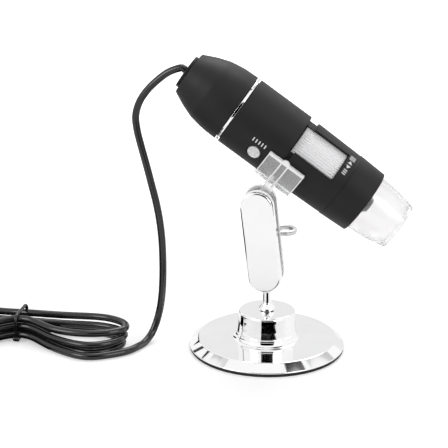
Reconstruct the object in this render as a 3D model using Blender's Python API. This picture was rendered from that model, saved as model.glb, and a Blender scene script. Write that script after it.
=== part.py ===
"""USB digital microscope in a clip on a round chrome stand, with its cord tied in a hank."""

import math

import bmesh
import bpy
from mathutils import Matrix, Vector

MM = 0.001
UP = Vector((0, 0, 1))

# Shared clearances
GAP = 0.3 * MM
OVERRUN = 2.0 * MM
MERGE_DISTANCE = 0.001 * MM
SHARP_ANGLE = math.radians(32)
FULL_TURN = 2 * math.pi

# Facets round a full turn
BASE_FACETS = 48
SHELL_FACETS = 40
TUBE_FACETS = 28
BALL_FACETS = 20
SMALL_FACETS = 16

# Base: rubber pad, chrome disc and hub
PAD_RADIUS = 34.8 * MM
PAD_THICKNESS = 1.2 * MM
PAD_EDGE = 0.3 * MM
BASE_RADIUS = 35.0 * MM
BASE_UNDERSIDE = PAD_THICKNESS + GAP
BASE_TOP = 5.1 * MM
BASE_BEVEL_WIDTH = 4.0 * MM
BASE_BEVEL_HEIGHT = 3.1 * MM
BASE_ROUND = 0.5 * MM
HUB_FOOT_RADIUS = 14.0 * MM
HUB_STEP_TOP = 8.0 * MM
HUB_WAIST_RADIUS = 13.5 * MM
HUB_TOP_RADIUS = 12.8 * MM
HUB_TOP = 17.9 * MM
HUB_ROUND = 0.6 * MM
HUB_FLARE_STEPS = 3
POCKET_RADIUS = 7.0 * MM
POCKET_CEILING = 8.3 * MM

# Post and the ball on it
STUD_RADIUS = 1.75 * MM
STUD_END = 2.6 * MM
POST_RADIUS = 2.05 * MM
POST_FOOT_RADIUS = 3.65 * MM
POST_FOOT_RIM = 0.8 * MM
POST_FOOT_HEIGHT = 3.0 * MM
WASHER_RADIUS = 4.5 * MM
WASHER_THICKNESS = 1.0 * MM
STUD_NUT_RADIUS = 3.8 * MM
STUD_NUT_THICKNESS = 3.2 * MM
BALL_RADIUS = 4.2 * MM
LOWER_BALL_HEIGHT = 32.3 * MM

# Arm: two dished halves round a screw
ARM_LENGTH = 37.06 * MM
ARM_LEAN = math.radians(-6.8)
ARM_HALF_WIDTH = 7.4 * MM
ARM_TOP_OVERHANG = 5.6 * MM
ARM_FOOT_OVERHANG = 4.3 * MM
ARM_FACE = 7.1 * MM
ARM_RIM = 3.0 * MM
ARM_SHEET = 1.0 * MM
ARM_EDGE_ROUND = 1.2 * MM
ARM_EDGE_STEPS = 3
ARM_END_STEPS = 10
SOCKET_RADIUS = 4.0 * MM
CENTRE_BOSS_RADIUS = 4.3 * MM
CENTRE_BOSS_END = 0.8 * MM
BOSS_ROOT = 0.5 * MM

# Clamp screw with its loop lever, and its nut
SCREW_RADIUS = 1.5 * MM
SCREW_END = 4.1 * MM
SCREW_HUB_RADIUS = 3.5 * MM
SCREW_HUB_END = 12.0 * MM
SCREW_HUB_ROUND = 0.5 * MM
LOOP_OFFSET = 8.1 * MM
LOOP_DISTANCE = 15.0 * MM
LOOP_OUTER_RADIUS = 5.2 * MM
LOOP_INNER_RADIUS = 3.4 * MM
LOOP_THICKNESS = 2.0 * MM
LOOP_ROUND = 0.4 * MM
WEB_THICKNESS = 1.6 * MM
WEB_DEPTH = 3.6 * MM
CLAMP_NUT_RADIUS = 2.9 * MM
CLAMP_NUT_THICKNESS = 1.8 * MM
NUT_POCKET_DEPTH = 2.2 * MM

# Microscope: tilt, distance from the upper ball, and radii from the tail to the nose
TILT = math.radians(35)
STEM_LENGTH = 28.0 * MM
STEM_STATION = 30.8 * MM
RING_RADIUS = 16.2 * MM
RING_HALF_LENGTH = 0.55 * MM
RING_ROUND = 0.25 * MM
SLEEVE_RADIUS = 16.1 * MM
SLEEVE_WALL = 1.4 * MM
SLEEVE_END = 27.8 * MM
SLEEVE_ROUND = 0.3 * MM
SPIGOT_RADIUS = SLEEVE_RADIUS - SLEEVE_WALL - GAP
SPIGOT_WALL = 1.2 * MM
SPIGOT_END = 5.0 * MM

# Tail housing, station and radius, with the corner radius of each
TAIL_EDGE_RADIUS = 16.05 * MM
TAIL_SHOULDER = 7.6 * MM
TAIL_SHOULDER_RADIUS = 15.85 * MM
TAIL_CORNER = 14.4 * MM
TAIL_CORNER_RADIUS = 14.75 * MM
TAIL_TAPER = 20.2 * MM
TAIL_TAPER_RADIUS = 12.7 * MM
TAIL_END = 26.3 * MM
TAIL_END_RADIUS = 9.8 * MM
TAIL_WALL = 1.6 * MM
TAIL_ROUND = 1.0 * MM
GROMMET_RADIUS = 7.7 * MM
GROMMET_FACE = 27.8 * MM
GROMMET_ROUND = 0.4 * MM
GROMMET_NECK_RADIUS = 3.2 * MM
GROMMET_HEAD_RADIUS = 4.6 * MM
GROMMET_HEAD_LENGTH = 1.6 * MM

# Snap button and what it presses
BUTTON_ANGLE = math.radians(-26.3)
BUTTON_STATION = 16.1 * MM
BUTTON_RADIUS = 2.85 * MM
BUTTON_PROUD = 0.3 * MM
BUTTON_ROUND = 0.4 * MM
BUTTON_GROOVE = 0.45 * MM
BUTTON_TRAVEL = 0.8 * MM
FLANGE_RADIUS = 3.9 * MM
FLANGE_DROP = 0.9 * MM
FLANGE_THICKNESS = 0.8 * MM
SWITCH_WIDTH = 4.5 * MM
SWITCH_HEIGHT = 1.6 * MM
SWITCH_PLUNGER_RADIUS = 0.9 * MM
SWITCH_PLUNGER_HEIGHT = 0.6 * MM
BUTTON_BOARD_WIDTH = 7.0 * MM
BUTTON_BOARD_THICKNESS = 1.0 * MM
BUTTON_BOARD_START = 12.0 * MM

# Front shell: neck, windows, web, ledge and collar
NECK_START = 21.0 * MM
NECK_WALL = 0.55 * MM
NECK_RADIUS = SPIGOT_RADIUS
SHELL_BORE = NECK_RADIUS - NECK_WALL
SHELL_START = 30.1 * MM
SHELL_TOP_START = 32.1 * MM
SHELL_START_RADIUS = 15.7 * MM
SHELL_END_RADIUS = 15.1 * MM
SHELL_ROUND = 0.4 * MM
COLLAR_START = 55.1 * MM
COLLAR_START_RADIUS = 15.35 * MM
COLLAR_END = 67.9 * MM
COLLAR_END_RADIUS = 14.7 * MM
WINDOW_ANGLE = math.radians(43.4)
WINDOW_WIDTH = 12.2 * MM
WINDOW_START = 27.5 * MM
WINDOW_END = 50.0 * MM
WEB_LENGTH = 1.5 * MM
LEDGE_LENGTH = 1.5 * MM

# Focus wheel, fixed tube and sliding lens carrier
WHEEL_RADIUS = SHELL_BORE - GAP
WHEEL_WALL = 1.95 * MM
WHEEL_START = 28.4 * MM
WHEEL_END = 49.8 * MM
WHEEL_RIBS = 76
RIB_DEPTH = 0.45 * MM
TUBE_RADIUS = WHEEL_RADIUS - WHEEL_WALL - GAP
TUBE_WALL = 1.4 * MM
TUBE_FLANGE_START = 24.6 * MM
TUBE_FLANGE_THICKNESS = 1.5 * MM
CARRIER_RADIUS = TUBE_RADIUS - TUBE_WALL - GAP
CARRIER_WALL = 1.2 * MM
CARRIER_START = 34.0 * MM
CARRIER_END = 58.0 * MM
CARRIER_FRONT_WALL = 1.5 * MM
CARRIER_TRAVEL = 3.0 * MM
PIN_RADIUS = 0.9 * MM
PIN_STATION = 42.0 * MM
PIN_ANGLE = math.radians(-90)
PIN_ROOT = 0.5 * MM
BARREL_RADIUS = 4.2 * MM
BARREL_START = 52.0 * MM
BARREL_FLANGE_RADIUS = 5.6 * MM
BARREL_FLANGE_THICKNESS = 1.3 * MM
BARREL_SHOULDER = 67.2 * MM
BARREL_CONE_START_RADIUS = 3.53 * MM
BARREL_TIP_RADIUS = 2.35 * MM
BARREL_TIP = 70.1 * MM
BARREL_BORE = 1.7 * MM
LENS_THICKNESS = 1.0 * MM
LENS_RECESS = 0.2 * MM
LENS_CROWN = 0.25 * MM

# Light board and clear nose cap
CAP_ROOT_START = 66.4 * MM
CAP_ROOT_RADIUS = 13.0 * MM
CAP_END = 86.1 * MM
CAP_END_RADIUS = 10.7 * MM
CAP_BULGE = 0.55 * MM
CAP_WALL = 1.5 * MM
CAP_RIM_WALL = 2.1 * MM
CAP_RIM_LENGTH = 2.4 * MM
CAP_ROUND = 0.4 * MM
CAP_STEPS = 4
LED_BOARD_THICKNESS = 1.0 * MM
LED_COUNT = 8
LED_CIRCLE = 8.2 * MM
LED_WIDTH = 1.8 * MM
LED_HEIGHT = 0.7 * MM

# Main board with its sensor, screws, cable header and inner lead
BOARD_THICKNESS = 1.6 * MM
BOARD_MARGIN = 0.35 * MM
SENSOR_WIDTH = 8.0 * MM
SENSOR_HEIGHT = 1.2 * MM
BOARD_SCREW_CIRCLE = 11.8 * MM
BOARD_SCREW_RADIUS = 0.8 * MM
BOARD_SCREW_HEAD_RADIUS = 1.6 * MM
BOARD_SCREW_HEAD_HEIGHT = 1.2 * MM
BOARD_SCREW_LENGTH = 3.4 * MM
HEADER_WIDTH = 6.0 * MM
HEADER_DEPTH = 3.4 * MM
HEADER_HEIGHT = 2.6 * MM
LEAD_RADIUS = 1.0 * MM
LEAD_BOW = 5.0 * MM
LEAD_POINTS = 15

# Clip: open ring, lips, tabs, ribs and stem
CLIP_START = 21.5 * MM
CLIP_END = 39.4 * MM
CLIP_BORE = SLEEVE_RADIUS + GAP
CLIP_WALL = 1.4 * MM
CLIP_MOUTH_DROP = math.radians(5)
CLIP_ARC_STEPS = 20
LIP_WALL = 2.1 * MM
LIP_ARC = math.radians(6)
TAB_STATION = 29.9 * MM
TAB_WIDTH = 4.0 * MM
TAB_HEIGHT = 1.3 * MM
TAB_ROOT = 1.0 * MM
TAB_STEPS = 6
CLIP_RIB_WIDTH = 0.8 * MM
CLIP_RIB_HEIGHT = 1.0 * MM
CLIP_RIB_SPACING = 3.2 * MM
RIB_ROOT = 0.7 * MM
STEM_RADIUS = 2.4 * MM

# Cord, in real places on and above the floor
CORD_RADIUS = 1.6 * MM
CORD_DIAMETER = 2 * CORD_RADIUS
FLOOR_CLEARANCE = 0.05 * MM
CORD_ON_FLOOR = CORD_RADIUS + FLOOR_CLEARANCE
CORD_SPACING = 2.0 * CORD_DIAMETER
CORD_EXIT = 2.0 * MM
CORD_ROUTE = (
    (-41.0 * MM, 0.0, 127.2 * MM),
    (-44.0 * MM, 0.0, 125.4 * MM),
    (-48.1 * MM, 0.0, 121.9 * MM),
    (-52.6 * MM, 0.0, 117.9 * MM),
    (-56.5 * MM, 0.0, 112.6 * MM),
    (-58.7 * MM, 0.0, 106.8 * MM),
    (-59.0 * MM, 0.0, 102.3 * MM),
    (-58.1 * MM, 0.0, 96.5 * MM),
    (-56.1 * MM, 0.0, 88.5 * MM),
    (-54.0 * MM, 0.0, 80.4 * MM),
    (-51.9 * MM, 0.0, 71.7 * MM),
    (-50.1 * MM, 0.0, 64.0 * MM),
    (-48.7 * MM, 0.0, 55.0 * MM),
    (-48.0 * MM, 0.0, 47.0 * MM),
    (-47.8 * MM, 0.0, 38.5 * MM),
    (-47.9 * MM, 0.0, 30.0 * MM),
    (-48.5 * MM, 0.0, 21.2 * MM),
    (-49.9 * MM, -0.4 * MM, 12.6 * MM),
    (-52.0 * MM, -2.6 * MM, 5.6 * MM),
    (-54.2 * MM, -7.2 * MM, CORD_ON_FLOOR),
    (-57.2 * MM, -13.2 * MM, CORD_ON_FLOOR),
)
ROUTE_SAMPLES = 24

# Hank: three layers of drawn-in loops, spiralling in and out again, fanned at the right end
HANK_CENTRE = Vector((-111.9 * MM, -11.5 * MM, 0))
HANK_END_RADIUS = 18.9 * MM
HANK_HALF_LENGTH = 32.0 * MM
HANK_PITCH = 3.95 * MM
HANK_WAIST_HALF_WIDTH = 5.6 * MM
HANK_WAIST_SHIFT = 4.0 * MM
HANK_LAYER = 3.7 * MM
HANK_LOOP_COUNT = 3
ARC_POINTS = 8
RUN_POINTS = 4
LOOP_POINTS = 2 * (ARC_POINTS + RUN_POINTS)
HANK_START_STEPS = 6
HANK_LAST_STEPS = 16
HANK_LAYER_SHARE = 1.3
HANK_CLIMB_SHARE = 0.5
HANK_TOP_INSET_SHARE = 0.5
HANK_LIFT_LENGTH = 20.0 * MM
HANK_FAN = 2.0 * MM
HANK_TOP_FAN = 5.0 * MM
HANK_FAN_START = 8.0 * MM
HANK_FAN_LENGTH = 26.0 * MM
HANK_FAN_EDGE = 2.0 * MM
HANK_REAR_DRAW = 6.0 * MM
HANK_REAR_WIDTH = 16.0 * MM
HANK_TAIL = 28.0 * MM
TAIL_DROP_SHARES = ((0.2, 0.0), (0.4, 0.12), (0.6, 0.5), (0.8, 0.88), (0.9, 1.0), (1.0, 1.0))
TIE_OFFSET = 1.5 * MM
TIE_THICKNESS = 0.9 * MM
TIE_WIDTH = 1.3 * MM
TIE_CORNER = 2.2 * MM
TIE_KNOB_RADIUS = 1.3 * MM
TIE_KNOB_LENGTH = 3.0 * MM
TIE_CORNER_STEPS = 4

# Plug lying on the floor beside the hank
PLUG_WIDTH = 15.5 * MM
PLUG_HEIGHT = 7.6 * MM
PLUG_LENGTH = 21.0 * MM
PLUG_CORNER = 2.0 * MM
PLUG_NOSE_INSET = 0.5 * MM
PLUG_NOSE_LENGTH = 1.2 * MM
PLUG_CORNER_STEPS = 3
RELIEF_LENGTH = 9.0 * MM
RELIEF_START_RADIUS = 2.3 * MM
RELIEF_END_RADIUS = 3.1 * MM
RELIEF_GROOVE = 0.5 * MM
RELIEF_GROOVES = 3
USB_WIDTH = 12.0 * MM
USB_HEIGHT = 4.5 * MM
USB_LENGTH = 12.0 * MM
USB_SHEET = 0.5 * MM
USB_CORNER = 0.7 * MM
TONGUE_THICKNESS = 1.9 * MM
TONGUE_SETBACK = 0.8 * MM


# Scene and materials


def clear_scene():
    for item in list(bpy.data.objects):
        bpy.data.objects.remove(item, do_unlink=True)


def material(name, colour, roughness, metallic=0.0, alpha=1.0):
    made = bpy.data.materials.new(name)
    made.use_nodes = True
    made.diffuse_color = (*colour, alpha)
    shader = made.node_tree.nodes["Principled BSDF"]
    shader.inputs["Base Color"].default_value = (*colour, 1.0)
    shader.inputs["Roughness"].default_value = roughness
    shader.inputs["Metallic"].default_value = metallic
    shader.inputs["Alpha"].default_value = alpha
    return made


def make_materials():
    return {
        "chrome": material("chrome", (0.82, 0.83, 0.84), 0.08, 1.0),
        "steel": material("steel", (0.62, 0.63, 0.65), 0.3, 1.0),
        "foot": material("foot rubber", (0.012, 0.012, 0.013), 0.85),
        "body": material("body plastic", (0.028, 0.026, 0.027), 0.5),
        "inner": material("inner plastic", (0.02, 0.02, 0.021), 0.6),
        "silver": material("silver wheel", (0.75, 0.76, 0.77), 0.32, 0.6),
        "button": material("button grey", (0.58, 0.58, 0.57), 0.55),
        "clear": material("clear plastic", (0.93, 0.95, 0.96), 0.06, 0.0, 0.3),
        "lens": material("lens glass", (0.7, 0.78, 0.85), 0.02, 0.0, 0.4),
        "board": material("board green", (0.02, 0.11, 0.05), 0.45),
        "board_white": material("board white", (0.85, 0.85, 0.83), 0.5),
        "led": material("led lens", (0.92, 0.9, 0.72), 0.3),
        "chip": material("chip black", (0.015, 0.015, 0.017), 0.35),
        "connector": material("connector white", (0.8, 0.79, 0.75), 0.5),
        "cord": material("cord jacket", (0.03, 0.03, 0.031), 0.3),
    }


# Shape helpers


def finished(name, shape, surface, parent):
    mesh = bpy.data.meshes.new(name)
    shape.to_mesh(mesh)
    shape.free()
    mesh.materials.append(surface)
    mesh.shade_smooth()
    mesh.set_sharp_from_angle(angle=SHARP_ANGLE)
    made = bpy.data.objects.new(name, mesh)
    bpy.context.scene.collection.objects.link(made)
    made.parent = parent
    return made


def frame_empty(name, matrix, parent=None):
    made = bpy.data.objects.new(name, None)
    bpy.context.scene.collection.objects.link(made)
    made.parent = parent
    made.matrix_local = matrix
    return made


def boolean(target, name, shape, operation, matrix=None):
    cutter = finished(f"{target.name} {name}", shape, target.data.materials[0], target.parent)
    cutter.hide_render = True
    cutter.display_type = "WIRE"
    cutter.matrix_local = matrix or Matrix.Identity(4)
    change = target.modifiers.new(name, "BOOLEAN")
    change.operation = operation
    change.solver = "EXACT"
    change.object = cutter
    return cutter


def turned(profile, facets, angle=FULL_TURN):
    """Solid of revolution about local Z; a profile that starts off the axis is a closed outline."""
    shape = bmesh.new()
    verts = [shape.verts.new((radius, 0, height)) for radius, height in profile]
    edges = [shape.edges.new(pair) for pair in zip(verts, verts[1:])]
    if profile[0][0] > 0:
        edges.append(shape.edges.new((verts[-1], verts[0])))
    bmesh.ops.spin(
        shape, geom=verts + edges, cent=(0, 0, 0), axis=UP, angle=angle, steps=facets
    )
    bmesh.ops.remove_doubles(shape, verts=shape.verts, dist=MERGE_DISTANCE)
    if angle < FULL_TURN:
        ends = [edge for edge in shape.edges if edge.is_boundary]
        bmesh.ops.holes_fill(shape, edges=ends)
    bmesh.ops.recalc_face_normals(shape, faces=shape.faces)
    return shape


def eased(corners, steps):
    """Closed outline whose corners are rounded by the radius given with each."""
    outline = []
    for index, (across, along, radius) in enumerate(corners):
        here = Vector((across, along))
        if not radius:
            outline.append((across, along))
            continue
        after = corners[(index + 1) % len(corners)]
        back = (Vector(corners[index - 1][:2]) - here).normalized()
        ahead = (Vector(after[:2]) - here).normalized()
        half = back.angle(ahead) / 2
        middle = here + (back + ahead).normalized() * (radius / math.sin(half))
        reach = radius / math.tan(half)
        first = (here + back * reach - middle).normalized()
        last = (here + ahead * reach - middle).normalized()
        for step in range(steps + 1):
            point = middle + first.slerp(last, step / steps) * radius
            outline.append((point.x, point.y))
    return outline


def rod(radius, start, end, facets):
    return turned([(0, start), (radius, start), (radius, end), (0, end)], facets)


def ring(outer, inner, start, end, facets):
    return turned([(inner, start), (outer, start), (outer, end), (inner, end)], facets)


def lofted(rings):
    """Skin over rings of equal count, closed by a face at each end."""
    shape = bmesh.new()
    loops = [[shape.verts.new(point) for point in loop] for loop in rings]
    for lower, upper in zip(loops, loops[1:]):
        for index in range(len(lower)):
            after = (index + 1) % len(lower)
            shape.faces.new((lower[index], lower[after], upper[after], upper[index]))
    shape.faces.new(loops[0])
    shape.faces.new(loops[-1])
    bmesh.ops.recalc_face_normals(shape, faces=shape.faces)
    return shape


def banded(rings):
    """Skin over rings of equal count, the last joined to the first."""
    shape = bmesh.new()
    loops = [[shape.verts.new(point) for point in loop] for loop in rings]
    for lower, upper in zip(loops, loops[1:] + loops[:1]):
        for index in range(len(lower)):
            after = (index + 1) % len(lower)
            shape.faces.new((lower[index], lower[after], upper[after], upper[index]))
    bmesh.ops.recalc_face_normals(shape, faces=shape.faces)
    return shape


def block(low, high):
    corners = [(low[0], low[1]), (high[0], low[1]), (high[0], high[1]), (low[0], high[1])]
    return lofted([[(x, y, z) for x, y in corners] for z in (low[2], high[2])])


def hexagon_prism(circumradius, start, end, turn=0.0):
    angles = [turn + FULL_TURN * step / 6 for step in range(6)]
    corners = [(circumradius * math.cos(a), circumradius * math.sin(a)) for a in angles]
    return lofted([[(x, y, z) for x, y in corners] for z in (start, end)])


def rounded_rectangle(width, height, corner, z, steps):
    points = []
    for quarter, (sx, sy) in enumerate(((1, 1), (-1, 1), (-1, -1), (1, -1))):
        centre_x = sx * (width / 2 - corner)
        centre_y = sy * (height / 2 - corner)
        for step in range(steps + 1):
            angle = (quarter + step / steps) * math.pi / 2
            points.append(
                (centre_x + corner * math.cos(angle), centre_y + corner * math.sin(angle), z)
            )
    return points


def moved(shape, matrix):
    bmesh.ops.transform(shape, matrix=matrix, verts=shape.verts)
    return shape


def tube_curve(name, points, radius, resolution, surface, parent=None):
    data = bpy.data.curves.new(name, "CURVE")
    data.dimensions = "3D"
    data.bevel_depth = radius
    data.bevel_resolution = resolution
    data.use_fill_caps = True
    spline = data.splines.new("POLY")
    spline.points.add(len(points) - 1)
    for target, point in zip(spline.points, points):
        target.co = (*point, 1.0)
    data.materials.append(surface)
    made = bpy.data.objects.new(name, data)
    bpy.context.scene.collection.objects.link(made)
    made.parent = parent
    return made


def smooth_route(places, spacing):
    """Evenly spaced points on a smooth curve through all but the end places, which aim it."""
    knots = [Vector(place) for place in places]
    fine = []
    for a, b, c, d in zip(knots, knots[1:], knots[2:], knots[3:]):
        for step in range(ROUTE_SAMPLES):
            t = step / ROUTE_SAMPLES
            fine.append(
                (2 * b + (c - a) * t + (2 * a - 5 * b + 4 * c - d) * t**2
                 + (3 * b - a - 3 * c + d) * t**3) / 2
            )
    fine.append(knots[-2])
    lengths = [0.0]
    for a, b in zip(fine, fine[1:]):
        lengths.append(lengths[-1] + (b - a).length)
    count = max(2, round(lengths[-1] / spacing))
    points = []
    index = 0
    for step in range(count + 1):
        target = lengths[-1] * step / count
        while index < len(fine) - 2 and lengths[index + 1] < target:
            index += 1
        share = (target - lengths[index]) / (lengths[index + 1] - lengths[index])
        points.append(fine[index].lerp(fine[index + 1], min(share, 1.0)))
    return points


# Stand


def make_base_pad(looks):
    profile = [
        (0, 0),
        (PAD_RADIUS - PAD_EDGE, 0),
        (PAD_RADIUS, PAD_EDGE),
        (PAD_RADIUS, PAD_THICKNESS),
        (0, PAD_THICKNESS),
    ]
    finished("base_pad", turned(profile, BASE_FACETS), looks["foot"], None)


def hub_flare():
    """Concave side of the hub, from its top down to the step ring."""
    points = []
    for step in range(1, HUB_FLARE_STEPS + 1):
        share = step / HUB_FLARE_STEPS
        radius = HUB_TOP_RADIUS + (HUB_WAIST_RADIUS - HUB_TOP_RADIUS) * share**3
        points.append((radius, HUB_TOP - (HUB_TOP - HUB_STEP_TOP) * share, 0))
    return points


def make_base(looks):
    bevel_foot = BASE_TOP - BASE_BEVEL_HEIGHT
    shaft = STUD_RADIUS + GAP
    corners = [
        (POCKET_RADIUS, BASE_UNDERSIDE, 0),
        (POCKET_RADIUS, POCKET_CEILING, 0),
        (shaft, POCKET_CEILING, 0),
        (shaft, HUB_TOP, 0),
        (HUB_TOP_RADIUS, HUB_TOP, HUB_ROUND),
        *hub_flare(),
        (HUB_FOOT_RADIUS, HUB_STEP_TOP, HUB_ROUND / 2),
        (HUB_FOOT_RADIUS, BASE_TOP, 0),
        (BASE_RADIUS - BASE_BEVEL_WIDTH, BASE_TOP, BASE_ROUND),
        (BASE_RADIUS, bevel_foot, BASE_ROUND),
        (BASE_RADIUS, BASE_UNDERSIDE, 0),
    ]
    finished("base", turned(eased(corners, 2), BASE_FACETS), looks["chrome"], None)


def make_stud_fasteners(looks):
    washer_top = POCKET_CEILING - GAP
    washer_low = washer_top - WASHER_THICKNESS
    bore = STUD_RADIUS + GAP
    washer = ring(WASHER_RADIUS, bore, washer_low, washer_top, SMALL_FACETS)
    finished("stud_washer", washer, looks["steel"], None)
    nut_top = washer_low - GAP
    nut_low = nut_top - STUD_NUT_THICKNESS
    nut = finished(
        "stud_nut", hexagon_prism(STUD_NUT_RADIUS, nut_low, nut_top), looks["steel"], None
    )
    boolean(nut, "bore", rod(bore, nut_low - OVERRUN, nut_top + OVERRUN, SMALL_FACETS), "DIFFERENCE")


def ball_flat(neck_radius):
    return math.sqrt(BALL_RADIUS**2 - neck_radius**2)


def ball_on_neck(neck_radius, facets):
    """Ball about the origin with a small flat below, where its neck meets it."""
    start = math.asin(neck_radius / BALL_RADIUS)
    rings = facets // 2 - 1
    profile = [(0, -ball_flat(neck_radius))]
    for step in range(rings + 1):
        angle = start + (math.pi - start) * step / rings
        profile.append((BALL_RADIUS * math.sin(angle), -BALL_RADIUS * math.cos(angle)))
    profile[-1] = (0, BALL_RADIUS)
    return turned(profile, facets)


def make_post_and_ball(looks, ball_frame):
    post_top = LOWER_BALL_HEIGHT - ball_flat(POST_RADIUS) - GAP
    foot = HUB_TOP + GAP
    profile = [
        (0, STUD_END),
        (STUD_RADIUS, STUD_END),
        (STUD_RADIUS, foot),
        (POST_FOOT_RADIUS, foot),
        (POST_FOOT_RADIUS, foot + POST_FOOT_RIM),
        (POST_RADIUS, foot + POST_FOOT_HEIGHT),
        (POST_RADIUS, post_top),
        (0, post_top),
    ]
    finished("ball_post", turned(profile, SMALL_FACETS), looks["chrome"], None)
    ball = ball_on_neck(POST_RADIUS, BALL_FACETS)
    finished("lower_ball", ball, looks["chrome"], ball_frame)


# Arm and clamp, in the arm's frame: Z from ball to ball, Y towards the rear


def arm_outline(inset, depth):
    radius = ARM_HALF_WIDTH - inset
    points = []
    for end, overhang in ((1, ARM_TOP_OVERHANG), (-1, ARM_FOOT_OVERHANG)):
        reach = ARM_LENGTH / 2 + overhang - ARM_HALF_WIDTH
        for step in range(ARM_END_STEPS + 1):
            angle = math.pi * (step / ARM_END_STEPS) + (0 if end > 0 else math.pi)
            across = radius * math.cos(angle)
            along = ARM_LENGTH / 2 + end * reach + radius * math.sin(angle)
            points.append((across, depth, along))
    return points


def arm_shell(side):
    floor = ARM_FACE - ARM_SHEET
    rings = []
    for step in range(ARM_EDGE_STEPS + 1):
        angle = math.pi / 2 * step / ARM_EDGE_STEPS
        inset = ARM_EDGE_ROUND * (1 - math.sin(angle))
        depth = ARM_FACE - ARM_EDGE_ROUND * (1 - math.cos(angle))
        rings.append(arm_outline(inset, side * depth))
    rings.append(arm_outline(0, side * ARM_RIM))
    rings.append(arm_outline(ARM_SHEET, side * ARM_RIM))
    rings.append(arm_outline(ARM_SHEET, side * floor))
    return lofted(rings)


def across_arm(along):
    """Frame whose Z runs to the rear, across the arm, at a distance along it."""
    return Matrix.Translation((0, 0, along)) @ Matrix.Rotation(-math.pi / 2, 4, "X")


def arm_cross_rod(radius, side, low, high, facets):
    start, end = sorted((side * low, side * high))
    return rod(radius, start, end, facets)


def make_arm_half(name, side, looks, arm_frame):
    floor = ARM_FACE - ARM_SHEET
    root = floor + BOSS_ROOT
    half = finished(name, arm_shell(side), looks["chrome"], arm_frame)
    for label, along in (("lower socket", 0), ("upper socket", ARM_LENGTH)):
        boss = arm_cross_rod(SOCKET_RADIUS, side, ARM_RIM, root, BALL_FACETS)
        boolean(half, label, boss, "UNION", across_arm(along))
    centre = arm_cross_rod(CENTRE_BOSS_RADIUS, side, CENTRE_BOSS_END, root, BALL_FACETS)
    boolean(half, "centre boss", centre, "UNION", across_arm(ARM_LENGTH / 2))
    for label, along in (("lower seat", 0), ("upper seat", ARM_LENGTH)):
        seat = bmesh.new()
        bmesh.ops.create_uvsphere(
            seat, u_segments=BALL_FACETS, v_segments=BALL_FACETS // 2, radius=BALL_RADIUS + GAP
        )
        boolean(half, label, seat, "DIFFERENCE", Matrix.Translation((0, 0, along)))
    bore_end = ARM_FACE + OVERRUN if side > 0 else SCREW_END + GAP
    bore = arm_cross_rod(SCREW_RADIUS + GAP, side, -OVERRUN, bore_end, SMALL_FACETS)
    boolean(half, "screw bore", bore, "DIFFERENCE", across_arm(ARM_LENGTH / 2))
    return half


def make_arm(looks, arm_frame, clamp_frame):
    make_arm_half("arm_rear", 1, looks, arm_frame)
    front = make_arm_half("arm_front", -1, looks, arm_frame)
    pocket_end = CENTRE_BOSS_END + NUT_POCKET_DEPTH
    pocket = hexagon_prism(CLAMP_NUT_RADIUS + GAP, -pocket_end, OVERRUN)
    boolean(front, "nut pocket", pocket, "DIFFERENCE", across_arm(ARM_LENGTH / 2))
    nut_low = GAP - pocket_end
    nut_high = nut_low + CLAMP_NUT_THICKNESS
    nut_shape = hexagon_prism(CLAMP_NUT_RADIUS, nut_low, nut_high)
    nut = finished("clamp_nut", nut_shape, looks["steel"], arm_frame)
    nut.matrix_local = across_arm(ARM_LENGTH / 2)
    bore = rod(SCREW_RADIUS + GAP, nut_low - OVERRUN, nut_high + OVERRUN, SMALL_FACETS)
    boolean(nut, "bore", bore, "DIFFERENCE", across_arm(ARM_LENGTH / 2))
    make_clamp_screw(looks, clamp_frame)


def make_clamp_screw(looks, clamp_frame):
    hub_start = ARM_FACE + GAP
    corners = [
        (0, -SCREW_END, 0),
        (SCREW_RADIUS, -SCREW_END, 0),
        (SCREW_RADIUS, hub_start, 0),
        (SCREW_HUB_RADIUS, hub_start, SCREW_HUB_ROUND),
        (SCREW_HUB_RADIUS, SCREW_HUB_END, SCREW_HUB_ROUND),
        (0, SCREW_HUB_END, 0),
    ]
    screw = finished(
        "clamp_screw", turned(eased(corners, 2), BALL_FACETS), looks["chrome"], clamp_frame
    )
    half = LOOP_THICKNESS / 2
    loop_corners = [
        (LOOP_INNER_RADIUS, -half, LOOP_ROUND),
        (LOOP_OUTER_RADIUS, -half, LOOP_ROUND),
        (LOOP_OUTER_RADIUS, half, LOOP_ROUND),
        (LOOP_INNER_RADIUS, half, LOOP_ROUND),
    ]
    loop_place = Matrix.Translation((LOOP_OFFSET, 0, LOOP_DISTANCE))
    loop_place = loop_place @ Matrix.Rotation(math.pi / 2, 4, "X")
    loop = turned(eased(loop_corners, 1), BALL_FACETS)
    boolean(screw, "loop", loop, "UNION", loop_place)
    web_half = WEB_THICKNESS / 2
    web_outline = [
        (0, SCREW_HUB_END - WEB_DEPTH),
        (LOOP_OFFSET, LOOP_DISTANCE - LOOP_OUTER_RADIUS + LOOP_ROUND),
        (LOOP_OFFSET - LOOP_OUTER_RADIUS + LOOP_ROUND, LOOP_DISTANCE),
        (0, SCREW_HUB_END - SCREW_HUB_ROUND),
    ]
    web = lofted([[(x, y, z) for x, z in web_outline] for y in (-web_half, web_half)])
    boolean(screw, "web", web, "UNION")


# Clip, in its own frame: X towards the nose, Z from the ball to the microscope's axis


def clip_point(radius, angle):
    return (-radius * math.cos(angle), STEM_LENGTH + radius * math.sin(angle))


def clip_arc(radius, first, last, steps):
    angles = [first + (last - first) * step / steps for step in range(steps + 1)]
    return [clip_point(radius, angle) for angle in angles]


def extruded_along_axis(outline, start, end):
    return lofted([[(x, y, z) for y, z in outline] for x in (start, end)])


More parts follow.
